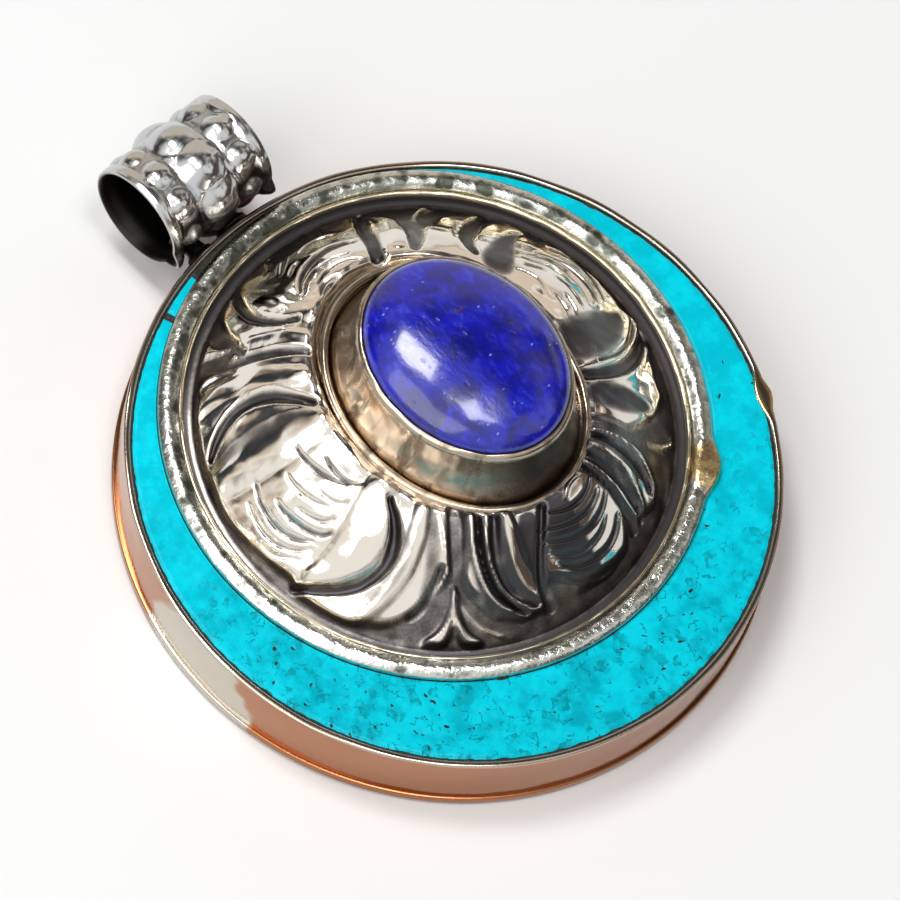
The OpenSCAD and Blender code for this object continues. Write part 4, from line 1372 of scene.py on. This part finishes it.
@dataclass
class Face:
    """The ring wire, its collar and the chased disc inside them.

    Attributes:
        finishes: The materials.
        ring_w: Width of the ring wire.
        crown_r: Radius of its half-round crown.
        joint_up: How far the solder of its joint stands over the crown.
        joint_angle: Where the joint is, in degrees from +X.
        joint_half: Half of the joint's width in degrees.
        run_out: How far the solder runs out beside the wire.
        run_half: Half of the run's width in degrees.
        bail_side: The side of the wire that is darkest, in degrees from +X.
        dents: How many dents the hammer left.
        dent_size: Least and greatest radius of a dent.
        dent_down: Least and greatest depth of a dent.
        collar_t: Thickness of the collar.
        sheet: Thickness of the disc's sheet.
        skin: Least thickness under the chasing.
        land_w: Width of the land round the cup.
        border: Width of the plain brim.
        bow: How far the dome swells over a cone.
        cone: Share of the dome's rise that is straight.
        lowest: Lowest that the chasing goes under the dome.
        lit_side: The side of the border that is painted lighter, as painted light, in degrees from
            +X.
        shaded_side: The side of the disc whose steep slopes get painted shade, in degrees from +X.
        chasing: The pattern of the disc.
    """

    finishes: Finishes
    ring_w: float = 1.2
    crown_r: float = 0.75
    joint_up: float = 0.12
    joint_angle: float = -53.0
    joint_half: float = 3.0
    run_out: float = 0.55
    run_half: float = 8.0
    bail_side: float = 95.0
    dents: int = 420
    dent_size: Pair = (0.22, 0.60)
    dent_down: Pair = (0.006, 0.03)
    collar_t: float = 0.28
    sheet: float = 0.4
    skin: float = 0.3
    land_w: float = 1.0
    border: float = 0.55
    bow: float = 0.35
    cone: float = 0.65
    lowest: float = -0.2
    lit_side: float = 165.0
    shaded_side: float = 262.0
    chasing: Chasing = Chasing()

    def __post_init__(self) -> None:
        """Read the places of the face from the construction."""
        ring, collar = Extent.of("ring_wire"), Extent.of("disc_collar")
        self.centre = (ring.centre.x, ring.centre.y)
        self.ring_r = ring.half.x
        self.ledge = ring.low.z
        self.crown = ring.high.z - self.joint_up
        self.lip = collar.high.z
        self.disc_r = self.ring_r - self.ring_w - self.collar_t
        foot = Extent.of("stone_cup")
        self.land_x = foot.half.x + self.land_w
        self.land_y = foot.half.y + self.land_w
        self.land_z = foot.low.z

    def make(self) -> None:
        """Make the wire, the collar and the disc."""
        self._wire()
        self._collar()
        self._disc()

    def _wire(self) -> None:
        """Make the half-round wire, dented all round, with solder on its joint."""
        outer, inner = self.ring_r, self.ring_r - self.ring_w
        middle = (outer + inner) / 2
        shoulder = self.crown - self.crown_r + math.sqrt(self.crown_r ** 2 - self.ring_w ** 2 / 4)
        side = math.degrees(math.acos(self.ring_w / 2 / self.crown_r))
        section = (line((outer, self.ledge), (outer, shoulder), 6)
                   + arc((middle, self.crown - self.crown_r), self.crown_r, side, 180 - side, 22)
                   + line((inner, shoulder - 0.05), (inner, self.ledge), 6)
                   + line((inner, self.ledge), (outer, self.ledge), 3))
        lattice = Lattice(1200)
        places = revolve(section, lattice.turns, self.centre)
        degrees = np.degrees(TURN * lattice.turns)
        away = wrap(degrees - self.joint_angle)
        reach = self._reach(places)
        upper = ease((places[..., 2] - shoulder + 0.1) / 0.25)
        depth, marks = self._dented(places)
        lift = upper * (self.joint_up * bump(away, self.joint_half * 1.3) - depth
                        + 0.005 * ripple(places, 0.5, 41) + 0.014 * ripple(places, 1.6, 42))
        run = (bump(away - 2.0, self.run_half) * ease((reach - middle) / 0.3)
               * ease((places[..., 2] - shoulder + 0.35) / 0.3))
        push_out(places, lattice.turns, self.run_out * run)
        places[..., 2] += lift
        inner_half = ease((middle + 0.25 - reach) / 0.35)
        near_bail = bump(wrap(degrees - self.bail_side), 120.0) ** 0.5
        marks = marks + (0.25 + 0.1 * near_bail) * ease(ripple(places, 1.8, 43))
        marks = np.clip(marks + 0.42 * near_bail * inner_half, 0, 1) * upper
        finish_piece("ring_wire_hammered", lattice.form(places, marks), self.finishes.wire,
                     Body.FRONT, ["ring_wire"])

    def _reach(self, places: Array) -> Array:
        """Distance of each place from the face's axis."""
        return np.hypot(places[..., 0] - self.centre[0], places[..., 1] - self.centre[1])

    def _dented(self, places: Array) -> tuple[Array, Array]:
        """Scatter the hammer's dents.

        Args:
            places: Places of the wire's points.

        Returns:
            How deep and how dark the wire is at each point.
        """
        rng = np.random.default_rng(5)
        depth, marks = np.zeros(places.shape[:2]), np.zeros(places.shape[:2])
        turns = np.arctan2(places[..., 1] - self.centre[1], places[..., 0] - self.centre[0])
        reach = self._reach(places)
        for _ in range(self.dents):
            turn = rng.uniform(-math.pi, math.pi)
            out = self.ring_r - self.ring_w * rng.uniform(0.1, 0.95)
            size = rng.uniform(*self.dent_size)
            aside = (np.abs(turns - turn + math.pi) % TURN - math.pi) * out
            spot = bump(np.hypot(aside, (reach - out) * rng.uniform(0.8, 1.6)), size)
            depth = np.maximum(depth, spot * rng.uniform(*self.dent_down))
            marks = np.maximum(marks, spot * rng.uniform(0.0, 0.5))
        return depth, marks

    def _collar(self) -> None:
        """Make the thin collar, its lip pressed over a little unevenly."""
        inner, outer = self.disc_r, self.disc_r + self.collar_t
        curve = self.collar_t / 2
        section = (line((outer, self.ledge), (outer, self.lip - curve), 5)
                   + arc((inner + curve, self.lip - curve), curve, 0, 180, 9)
                   + line((inner, self.lip - 1.4 * curve), (inner, self.ledge), 6)
                   + line((inner, self.ledge), (outer, self.ledge), 2))
        lattice = Lattice(600)
        places = revolve(section, lattice.turns, self.centre)
        upper = ease((places[..., 2] - self.lip + 0.3) / 0.25)
        places[..., 2] += upper * 0.035 * ripple(places * LEVEL, 2.4, 51)
        marks = 0.75 * (1 - ease((places[..., 2] - self.lip + 0.45) / 0.35))
        finish_piece("disc_collar_pressed", lattice.form(places, marks), self.finishes.collar,
                     Body.FRONT, ["disc_collar"])

    def _dome(self, out: Array) -> Array:
        """Height of the plain dome over the disc's edge, at each share of the way out."""
        rise = self.land_z - self.ledge - self.sheet
        return (rise * (self.cone * (1 - out) + (1 - self.cone) * ease(1 - out))
                + self.bow * np.sin(math.pi * out))

    def _disc(self) -> None:
        """Make the chased disc, bright on its ridges and dark in its recesses, with painted shade
        on the slopes of one side and painted light on the border's lit side.

        Its rows run from the middle of its top over the land, the chasing and the brim, and then
        back to the middle of its underside.
        """
        lattice = Lattice(640, Closure.SHELL)
        full = np.ones((1, lattice.steps))
        angles = TURN * lattice.turns * full
        land = 1 / np.hypot(np.cos(angles) / self.land_x, np.sin(angles) / self.land_y)
        edge = self.disc_r - self.border
        out = np.linspace(-0.17, 1, 122)[:, None] * full
        face = land + (edge - land) * out
        height, marks = self._chased(np.degrees(angles) + 0 * out, out, face)
        under = np.linspace(1, 0, 13)[:, None] * full
        level = (self.ledge + self.sheet) * full
        plain = np.maximum(self.ledge, level + self._dome(under) + self.lowest - self.skin)
        brim = self.disc_r - np.array([0.25, 0.08, 0.0, 0.0])[:, None]
        reach = np.concatenate([face[:1] * 0, face[:1] * 0.6, face, brim * full,
                                land + (edge - land) * under, land * 0.5, land * 0])
        height = np.concatenate([full * self.land_z, full * self.land_z, height, level, level,
                                 level, full * self.ledge, plain, plain[-1:], plain[-1:]])
        top, bottom = 2, 2 + len(marks)
        dark = np.full(reach.shape, 0.8)
        dark[:top] = 0.4
        dark[top:bottom] = marks
        # The brim is painted lighter on the lit side.
        dark[bottom:bottom + len(brim)] *= self._lit_border_share(np.degrees(angles))
        places = around(reach, lattice.turns, height, self.centre)
        finish_piece("chased_disc_formed", lattice.form(places, dark), self.finishes.chased,
                     Body.FRONT, ["chased_disc"], crease=70.0)

    def _lit_border_share(self, degrees: Array) -> Array:
        """Share of its patina that the border keeps at each angle, less on the side painted
        lighter as painted light.
        """
        return 1 - 0.6 * bump(wrap(degrees - self.lit_side), 60.0)

    def _chased(self, degrees: Array, out: Array, reach: Array) -> tuple[Array, Array]:
        """Height and patina of the chased face at each of its points, with its painted shade and
        painted light.

        Args:
            degrees: Angles counter-clockwise from +X.
            out: Shares of the way from the land to the border.
            reach: Distances from the disc's middle.

        Returns:
            Heights over the case's underside, and marks of 0 to 1.
        """
        height, marks = self.chasing.shape(degrees, out, reach)
        ends = np.where(out < 0.5, ease((out + 0.15) / 0.10), ease((1 - out) / 0.06))
        height = np.maximum(self.lowest, ends * soften(height, 1))
        cavity = ease((soften(height, 10) - height - 0.01) / 0.10)
        marks = np.maximum(soften(marks, 2), 0.65 * cavity)
        rise, run = np.gradient(soften(height, 3))
        steep = np.hypot(rise / np.gradient(reach, axis=0), run / (reach * TURN / run.shape[1]))
        # Painted shade: steep slopes on one side are darkened, standing in for dark reflections.
        shaded_side = bump(wrap(degrees - self.shaded_side), 80.0) ** 0.5
        marks = np.maximum(marks, 0.75 * shaded_side * ease((steep - 0.12) / 0.40))
        # Painted light: the border keeps less patina on the lit side.
        marks = np.maximum(marks, 0.6 * self._lit_border_share(degrees) * ease((out - 0.95) / 0.05))
        marks = marks * ease((out + 0.10) / 0.05)
        places = around(reach, degrees / 360.0, height)
        wobble = 0.050 * ripple(places, 2.6, 61) + 0.012 * ripple(places, 0.9, 62)
        marks = np.clip(marks * (1.0 + 0.07 * ripple(places, 1.1, 63)), 0, 1)
        dome = self.ledge + self.sheet + self._dome(np.maximum(out, 0))
        return dome + height + ends * wobble, marks


@dataclass
class Setting:
    """The tall cup, the wire round its foot, the packing and the cabochon.

    Attributes:
        finishes: The materials.
        gem_x: Half of the cabochon's width.
        gem_y: Half of the cabochon's length.
        wall: Thickness of the cup.
        waist: Share by which its wall draws in halfway up.
        wire_r: Radius of the foot wire.
        gem_gap: Gap between the stone and the cup.
        burnish: How far the lip is rubbed over the stone.
        shaded_wall_side: The side of the cup's wall that gets painted shade, standing in for dark
            reflections, in degrees from +X.
    """

    finishes: Finishes
    gem_x: float = 5.25
    gem_y: float = 6.5
    wall: float = 0.32
    waist: float = 0.05
    wire_r: float = 0.25
    gem_gap: float = 0.02
    burnish: float = 0.12
    shaded_wall_side: float = 268.0

    def __post_init__(self) -> None:
        """Read the places of the cup from the construction."""
        cup = Extent.of("stone_cup")
        self.centre = (cup.centre.x, cup.centre.y)
        self.foot = (cup.half.x, cup.half.y)
        self.low, self.lip = cup.low.z, cup.high.z
        self.top = Extent.of("lapis_cabochon").high.z
        self.seat = Extent.of("lapis_cabochon").low.z

    def make(self) -> None:
        """Make the cup, its foot wire and the cabochon, and dress the packing."""
        self._cup()
        self._foot_wire()
        self._cabochon()
        dress_node("cup_packing", self.finishes.packing)

    def _wall(self, share: Array) -> tuple[Array, Array]:
        """Outside of the cup.

        Args:
            share: Shares of the cup's height.

        Returns:
            Its half-widths and half-lengths there.
        """
        pull = 1 - self.waist * np.sin(math.pi * share)
        across = self.foot[0] + (self.gem_x + self.wall - self.foot[0]) * share
        along = self.foot[1] + (self.gem_y + self.wall - self.foot[1]) * share
        return across * pull, along * pull

    def _oval(self, across: Array, along: Array, height: Array, turns: Array) -> Array:
        """Places of oval rows about the cup's axis.

        Args:
            across: Half-width of each row.
            along: Half-length of each row.
            height: Height of each row.
            turns: Share of a turn at each column.

        Returns:
            Places by row and column.
        """
        angles = TURN * turns[None, :]
        return np.stack([self.centre[0] + across[:, None] * np.cos(angles),
                         self.centre[1] + along[:, None] * np.sin(angles),
                         height[:, None] + 0 * angles], axis=-1)

    def _cup(self) -> None:
        """Make the cup's wall, its lip rubbed over the stone, with painted shade on one side of
        its outside.
        """
        rise = self.lip - self.low
        curve = self.wall / 2
        bend = curve / rise
        up, down = np.linspace(0, 1 - bend, 26), np.linspace(1 - bend, 0, 14)
        over = np.radians(np.linspace(0, 180, 8))
        share = np.concatenate([up, 1 - bend + bend * np.sin(over), down])
        inset = np.concatenate([np.zeros(len(up)), curve * (1 - np.cos(over)),
                                np.full(len(down), self.wall)])
        across, along = self._wall(share)
        rub = self.burnish * ease((share - 0.93) / 0.07)
        lattice = Lattice(480)
        places = self._oval(across - inset - rub, along - inset - rub,
                            self.low + rise * share, lattice.turns)
        share, inset = share[:, None], inset[:, None]
        outer = inset < curve
        push = outer * (0.022 * ripple(places, 3.2, 71) + 0.008 * ripple(places, 1.2, 72))
        push_out(places, lattice.turns, push)
        places[..., 2] += ease((share - 0.8) / 0.2) * 0.03 * ripple(places * LEVEL, 2.2, 73)
        # The inside and the foot are dark; one side of the outside gets painted shade, standing in
        # for dark reflections.
        away = wrap(np.degrees(TURN * lattice.turns) - self.shaded_wall_side)
        marks = np.maximum.reduce(np.broadcast_arrays(
            np.where(inset > curve, 0.8, 0.0), 0.4 * (1 - ease(share / 0.05)),
            0.7 * bump(away, 74.0) * outer * (1 - ease((share - 0.85) / 0.1))))
        finish_piece("stone_cup_rubbed", lattice.form(places, marks), self.finishes.cup,
                     Body.FRONT, ["stone_cup"])

    def _foot_wire(self) -> None:
        """Make the wire round the foot of the cup."""
        lattice = Lattice(480)
        angles = TURN * np.arange(14) / 14
        offset = self.wire_r * (1 + np.cos(angles))
        places = self._oval(self.foot[0] + offset, self.foot[1] + offset,
                            self.low + self.wire_r * (1 + np.sin(angles)), lattice.turns)
        places[..., 2] += 0.02 * ripple(places * LEVEL, 1.8, 81)
        marks = np.full(places.shape[:2], 0.15)
        finish_piece("cup_foot_wire_round", lattice.form(places, marks), self.finishes.cup,
                     Body.FRONT, ["cup_foot_wire"])

    def _cabochon(self) -> None:
        """Make the cabochon, with a polished dome that isn't quite even."""
        rise = self.lip - self.low
        steps = np.radians(np.linspace(0, 90, 34))
        sides = np.linspace(1, (self.seat - self.low) / rise, 8)
        fill = self.wall + self.gem_gap + 0.02
        across, along = (
            np.concatenate([(gem - fill + self.wall) * np.sin(steps), side - fill,
                            side[-1:] * 0.5, [0.0]])
            for gem, side in zip((self.gem_x, self.gem_y), self._wall(sides)))
        level = np.concatenate([self.lip + (self.top - self.lip) * np.cos(steps),
                                self.low + rise * sides, [self.seat, self.seat]])
        lattice = Lattice(300, Closure.SHELL)
        places = self._oval(across, along, level, lattice.turns)
        dome = (np.arange(len(across)) < len(steps))[:, None]
        places[..., 2] += dome * 0.010 * ripple(places, 2.4, 91)
        places[0] = places[0].mean(axis=0)
        finish_piece("lapis_cabochon_polished", lattice.form(places), self.finishes.lapis,
                     Body.FRONT, ["lapis_cabochon"])


@dataclass(frozen=True)
class Bosses:
    """A row of bosses across the bail's crown.

    Attributes:
        place: Distance of the row from the tube's middle.
        size: Radius of a boss.
        proud: How far a boss stands over the tube.
        count: How many there are.
        step: Degrees from one to the next.
        blend: How softly their feet run into the tube.
    """

    place: float
    size: float
    proud: float
    count: int
    step: float
    blend: float


@dataclass(frozen=True)
class Bar:
    """A short bar between the band and the bail.

    Attributes:
        name: Name of the piece.
        across: Its place along X.
        size: Its rough radius, which is less in its middle and more at its ends.
        level: Its height over the case's underside.
        replaces: Construction nodes that it stands for.
    """

    name: str
    across: float
    size: float
    level: float
    replaces: tuple[str, ...] = ()


@dataclass
class Bail:
    """The tube bail with its bosses, and the neck and solder that hold it.

    Attributes:
        finishes: The materials.
        bore: Radius of the bore.
        sheet: Thickness of the tube.
        mouth: Radius of the bore where it opens at both ends.
        mouth_l: Length over which it opens.
        lip_out: How far the lips stand over the tube.
        lip_w: Width of a lip.
        swell: How far the tube swells under its middle row of bosses.
        crown_angle: The middle of each row, in degrees about the tube from +Y.
        rows: The rows of bosses.
        ridge: Height of the raised line beside the middle row.
        ridge_x: Distance of that line from the tube's middle.
        seam_angle: Where the seam is pinched, in degrees about the tube.
        seam_pinch: How deep the pinch is.
        bars: The bars that hold the tube.
    """

    finishes: Finishes
    bore: float = 2.7
    sheet: float = 0.36
    mouth: float = 3.0
    mouth_l: float = 1.2
    lip_out: float = 0.24
    lip_w: float = 0.9
    swell: float = 0.35
    crown_angle: float = 105.0
    rows: tuple[Bosses, ...] = (
        Bosses(0.0, 1.6, 0.7, 5, 47.0, 0.7), Bosses(2.4, 1.05, 0.45, 6, 42.0, 0.55),
        Bosses(-2.4, 1.05, 0.45, 6, 42.0, 0.55))
    ridge: float = 0.13
    ridge_x: float = 1.35
    seam_angle: float = -168.0
    seam_pinch: float = 0.55
    bars: tuple[Bar, ...] = (
        Bar("bail_neck", 0.5, 1.1, 4.3, ("bail_shank",)), Bar("bail_solder", -2.1, 0.8, 4.4))

    def __post_init__(self) -> None:
        """Read the bail's place from its bore mount."""
        mounts = {mount["name"]: mount for mount in frame["record"]["mounts"]}
        place = mounts["bail_bore"]["pos_m"]
        self.centre = (0.0, place[1] / MM, place[2] / MM)
        self.half = Extent.of("bail_tube").half.x
        self.tube_r = self.bore + self.sheet

    def make(self) -> None:
        """Make the tube and what joins it to the band."""
        self._tube()
        for bar in self.bars:
            self._bar(bar)

    def _profile(self, along: Array) -> Array:
        """Radius of the plain tube, swollen in its middle and flared at its lips.

        Args:
            along: Distances from the tube's middle.

        Returns:
            The radius at each of them.
        """
        inner = self.half - self.lip_w
        share = np.clip(np.abs(along) / inner, 0, 1)
        swell = np.interp(share, [0, 0.2, 0.38, 0.5, 0.62, 0.8, 1],
                          [1, 0.94, 0.6, 0.1, 0.35, 0.3, 0.1])
        lip = np.interp((np.abs(along) - inner) / self.lip_w, [0, 0.3, 0.7, 1],
                        [0.2, 0.9, 1, 0.75])
        return self.tube_r + np.where(np.abs(along) > inner, self.lip_out * lip,
                                      self.swell * swell)

    def _bossed(self, along: Array, degrees: Array, radius: Array) -> Array:
        """Raise the tube where its bosses are, softened at their feet.

        Args:
            along: Distances from the tube's middle.
            degrees: Angles about the tube.
            radius: Radius of the plain tube.

        Returns:
            Radius of the embossed tube.
        """
        for row in self.rows:
            for i in range(row.count):
                angle = self.crown_angle + row.step * (i - (row.count - 1) / 2)
                aside = self.tube_r * np.radians(wrap(degrees - angle))
                away = np.hypot(along - row.place, aside)
                cap = self.tube_r + row.proud - row.size + np.sqrt(
                    np.clip(row.size ** 2 - away ** 2, 0, None))
                lift = np.clip(0.5 + 0.5 * (cap - radius) / row.blend, 0, 1)
                radius = radius * (1 - lift) + cap * lift + row.blend * lift * (1 - lift) / 2
        across = along - self.ridge_x - 0.004 * (degrees - self.crown_angle)
        return radius + self.ridge * bump(across, 0.22) * bump(degrees - 132.0, 48.0)

    def _tube(self) -> None:
        """Make the tube, embossed outside and dark inside, with a pinched seam and painted shade
        on its side toward the band.
        """
        outer_rows, inner_rows, lip_rows = 92, 30, 5
        even = np.linspace(-1, 1, outer_rows)
        crowded = np.sin(math.pi / 2 * even)
        along = np.concatenate([self.half * (0.35 * crowded + 0.65 * even),
                                np.full(lip_rows, self.half),
                                np.linspace(self.half, -self.half, inner_rows),
                                np.full(lip_rows, -self.half)])
        lattice = Lattice(300)
        along, degrees = np.broadcast_arrays(along[:, None], np.degrees(TURN * lattice.turns))
        outer = np.zeros((len(along), 1))
        outer[:outer_rows] = 1
        share = outer.copy()
        share[outer_rows:outer_rows + lip_rows, 0] = np.linspace(0.85, 0.15, lip_rows)
        share[-lip_rows:, 0] = np.linspace(0.15, 0.85, lip_rows)
        near_end = ease((np.abs(along) - self.half + self.mouth_l) / self.mouth_l)
        inside = self.bore + (self.mouth - self.bore) * near_end
        radius = self._bossed(along, degrees, self._profile(along))
        radius = inside + (radius - inside) * share
        pinch = bump(wrap(degrees - self.seam_angle), 16.0) * near_end
        radius = radius + self.seam_pinch * pinch
        radius = radius + outer * 0.014 * ripple(self._about(along, radius, degrees), 2.0, 101)
        bulge = np.sin(math.pi * share) * 0.06
        places = self._about(along + np.sign(along) * bulge, radius, degrees)
        valley = ease((self.tube_r + 0.26 - radius) / 0.2) * outer
        # Painted shade: the side of the tube toward the band is darkened.
        shaded_underside = ease((degrees - 134.0) / 40.0) * ease((300.0 - degrees) / 30.0)
        marks = np.clip(valley * (0.34 + 0.5 * shaded_underside) + 0.62 * shaded_underside * outer
                        + 0.95 * (1 - share) * (1 - near_end * 0.2), 0, 1)
        form = lattice.form(places + np.array(self.centre), marks)
        finish_piece("bail_tube_embossed", form, self.finishes.bail, Body.FRONT,
                     ["bail_tube"])

    def _about(self, along: Array, radius: Array, degrees: Array) -> Array:
        """Places about the tube's own axis."""
        angles = np.radians(degrees)
        return np.stack([along, radius * np.cos(angles), radius * np.sin(angles)], axis=-1)

    def _bar(self, bar: Bar) -> None:
        """Make a bar, flared where it meets the band and the tube.

        Args:
            bar: The bar's sizes and place.
        """
        start = -Extent.of("case_band").low.x - 0.05
        end = Extent.of("bail_shank").high.y + 0.35
        lattice = Lattice(48, Closure.SHELL)
        share = np.linspace(0, 1, 22)[:, None]
        flare = bar.size * (0.72 + 0.45 * (2 * np.abs(share - 0.5)) ** 2.2)
        flare[[0, -1]] = 0.0
        angles = TURN * lattice.turns
        places = np.stack(np.broadcast_arrays(
            bar.across + flare * np.cos(angles), start + (end - start) * share,
            bar.level + flare * np.sin(angles)), axis=-1)
        rough = 0.05 * ripple(places, 1.1, 111) * (np.abs(share - 0.5) < 0.45)
        # Dark all over: partly dark solder, partly painted shade in the gap under the tube.
        marks = np.full(places.shape[:2], 0.6)
        finish_piece(bar.name, lattice.form(places + rough[..., None], marks),
                     self.finishes.bail, Body.FRONT, bar.replaces)


@dataclass(frozen=True)
class Lamp:
    """A soft box over the table.

    Attributes:
        name: Name of the lamp.
        azimuth: Its direction from the object, in degrees counter-clockwise from +X.
        elevation: Its height over the horizon in degrees.
        width: Its width.
        length: Its length.
        radiance: How bright its face is, where 1 is white.
        distance: How far away it hangs.
    """

    name: str
    azimuth: float
    elevation: float
    width: float
    length: float
    radiance: float
    distance: float = 0.5

    def hang(self) -> None:
        """Hang the lamp, facing the object."""
        light = bpy.data.lights.new(self.name, "AREA")
        light.shape = "RECTANGLE"
        light.size = self.width
        light.size_y = self.length
        light.energy = self.radiance * math.pi * self.width * self.length
        azimuth, elevation = math.radians(self.azimuth), math.radians(self.elevation)
        way = Vector((math.cos(azimuth) * math.cos(elevation),
                      math.sin(azimuth) * math.cos(elevation), math.sin(elevation)))
        lamp = bpy.data.objects.new(self.name, light)
        bpy.context.scene.collection.objects.link(lamp)
        turn = way.to_track_quat("Z", "Y").to_matrix().to_4x4()
        lamp.matrix_world = Matrix.Translation(way * self.distance) @ turn


@dataclass(frozen=True)
class Glow:
    """A soft patch of the surroundings, which the metal mirrors.

    Attributes:
        aim: Its direction from the object.
        low: Cosine of the angle from its middle where it has faded out.
        high: Cosine of the angle from its middle where it begins to fade.
        colour: Its colour.
    """

    aim: Place
    low: float
    high: float
    colour: Colour


@dataclass
class Studio:
    """The pale floor, the lamps, the surroundings and the camera.

    Attributes:
        floor_size: Length of the floor's sides in metres.
        floor_down: How far the floor lies under the object.
        floor: Colour of the floor.
        clouds: Places and colours of the ramp that the surroundings take from a cloud noise.
        cloud_size: Size of those clouds.
        cloud_shift: Where the noise is read.
        glows: Patches over the clouds, the last on top.
        ceiling: Colour straight above.
        ambient: Colour of the light on dull surfaces.
        pitch: Turn of the camera about X, in degrees.
        roll: Turn of the camera about Y.
        turn: Turn of the camera about Z.
        aside: Place of the camera across its own picture.
        up: Place of the camera upward in its own picture.
        distance: Distance of the camera.
        lens: Focal length for a sensor of 36 mm.
        lamps: The lamps.
    """

    floor_size: float = 3.0
    floor_down: float = 0.02
    floor: Colour = (0.93, 0.93, 0.925)
    clouds: tuple[tuple[float, Colour], ...] = (
        (0.34, (1.0, 0.98, 0.95)), (0.43, (0.66, 0.57, 0.48)), (0.50, (0.34, 0.28, 0.24)),
        (0.57, (0.08, 0.085, 0.095)), (0.68, (0.04, 0.045, 0.055)))
    cloud_size: float = 0.30
    cloud_shift: Place = (9.0, 4.1, 2.3)
    glows: tuple[Glow, ...] = (
        Glow((0.66, 0.75, 0.05), 0.66, 0.82, (0.80, 0.71, 0.61)),
        Glow((0.50, -0.80, 0.20), 0.72, 0.86, (0.10, 0.075, 0.065)),
        Glow((0.33, -0.56, 0.76), 0.93, 0.97, (1.0, 1.0, 0.99)),
        Glow((-0.60, -0.15, 0.78), 0.50, 0.78, (1.0, 1.0, 0.99)))
    ceiling: Colour = (0.07, 0.07, 0.08)
    ambient: Colour = (0.20, 0.20, 0.20)
    pitch: float = -24.787
    roll: float = 9.785
    turn: float = 40.3
    aside: float = 0.425
    up: float = 2.54
    distance: float = 361.905
    lens: float = 251.49
    lamps: tuple[Lamp, ...] = (
        Lamp("strip_far", 95.0, 68.0, 0.11, 0.155, 16.3),
        Lamp("strip_near", -112.0, 82.5, 0.115, 0.125, 11.1),
        Lamp("side_left", 174.0, 46.0, 0.44, 0.38, 2.4))

    def make(self) -> None:
        """Build the floor, the lamps, the world and the camera."""
        self._floor()
        for lamp in self.lamps:
            lamp.hang()
        self._world()
        self._camera()
        bpy.context.scene.view_settings.view_transform = "Standard"

    def _floor(self) -> None:
        """Lay the floor just under the object."""
        form = bmesh.new()
        bmesh.ops.create_grid(form, x_segments=1, y_segments=1, size=self.floor_size / 2)
        bmesh.ops.translate(form, vec=(0, 0, -self.floor_down * MM), verts=form.verts)
        mesh = bpy.data.meshes.new("floor")
        form.to_mesh(mesh)
        form.free()
        mesh.materials.append(new_material("floor", {
            "Base Color": self.floor, "Roughness": 0.9, "Specular IOR Level": 0.1})[0])
        floor = bpy.data.objects.new("floor", mesh)
        bpy.context.scene.collection.objects.link(floor)

    def _world(self) -> None:
        """Surround the object with a pale backdrop under a dim ceiling."""
        world = bpy.data.worlds.new("studio")
        bpy.context.scene.world = world
        world.use_nodes = True
        graph = Graph(world.node_tree)
        graph.tree.nodes.clear()
        way = graph.node("ShaderNodeTexCoord").outputs["Generated"]
        height = graph.value("ShaderNodeSeparateXYZ", {}, {0: way}, "Z")
        shifted = graph.node("ShaderNodeVectorMath", {"operation": "ADD"}, {
            0: way, 1: self.cloud_shift}).outputs[0]
        cloud = graph.noise(shifted, self.cloud_size, 1.0, 0.5, 0.5)
        seen = graph.node("ShaderNodeValToRGB", {"stops": self.clouds},
                          {"Fac": cloud}).outputs["Color"]
        seen = graph.blend(height.between(0.70, 0.90), seen, self.ceiling)
        for glow in self.glows:
            facing = graph.value("ShaderNodeVectorMath", {"operation": "DOT_PRODUCT"}, {
                0: way, 1: tuple(Vector(glow.aim).normalized())}, "Value")
            share = (facing + (cloud - 0.5) * 0.4).between(glow.low, glow.high)
            seen = graph.blend(share, seen, glow.colour)
        backdrop = graph.node("ShaderNodeBackground", {}, {"Color": seen, "Strength": 1.0})
        ambient = graph.node("ShaderNodeBackground", {}, {
            "Color": self.ambient, "Strength": 1.0})
        path = graph.node("ShaderNodeLightPath").outputs
        looked = (Value(graph, path["Is Camera Ray"]) + Value(graph, path["Is Glossy Ray"])
                  + Value(graph, path["Is Transmission Ray"]))
        mixed = graph.node("ShaderNodeMixShader", {}, {
            0: looked.between(0.0, 1.0), 1: ambient.outputs[0], 2: backdrop.outputs[0]})
        graph.node("ShaderNodeOutputWorld", {}, {"Surface": mixed.outputs[0]})

    def _camera(self) -> None:
        """Place the camera at the angle of view that was worked out for the photograph."""
        pitch, roll, turn = (math.radians(a) for a in (self.pitch, self.roll, self.turn))
        view = (Matrix.Rotation(roll, 3, "Y") @ Matrix.Rotation(pitch, 3, "X")
                @ Matrix.Rotation(turn, 3, "Z"))
        place = view.transposed() @ Vector((self.aside, self.up, self.distance)) * MM
        lens = bpy.data.cameras.new("camera")
        lens.sensor_width = 36.0
        lens.lens = self.lens
        lens.clip_start, lens.clip_end = 0.01, 10.0
        camera = bpy.data.objects.new("camera", lens)
        bpy.context.scene.collection.objects.link(camera)
        camera.matrix_world = Matrix.Translation(place) @ view.transposed().to_4x4()
        bpy.context.scene.camera = camera


def main() -> None:
    """Build the object and its studio."""
    logging.basicConfig(level=logging.INFO, format="%(name)s: %(message)s")
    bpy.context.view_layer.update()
    finishes = Finishes.build()
    Back(finishes).make()
    Case(finishes).make()
    Face(finishes).make()
    Setting(finishes).make()
    Bail(finishes).make()
    Studio().make()


if __name__ == "__main__":
    main()
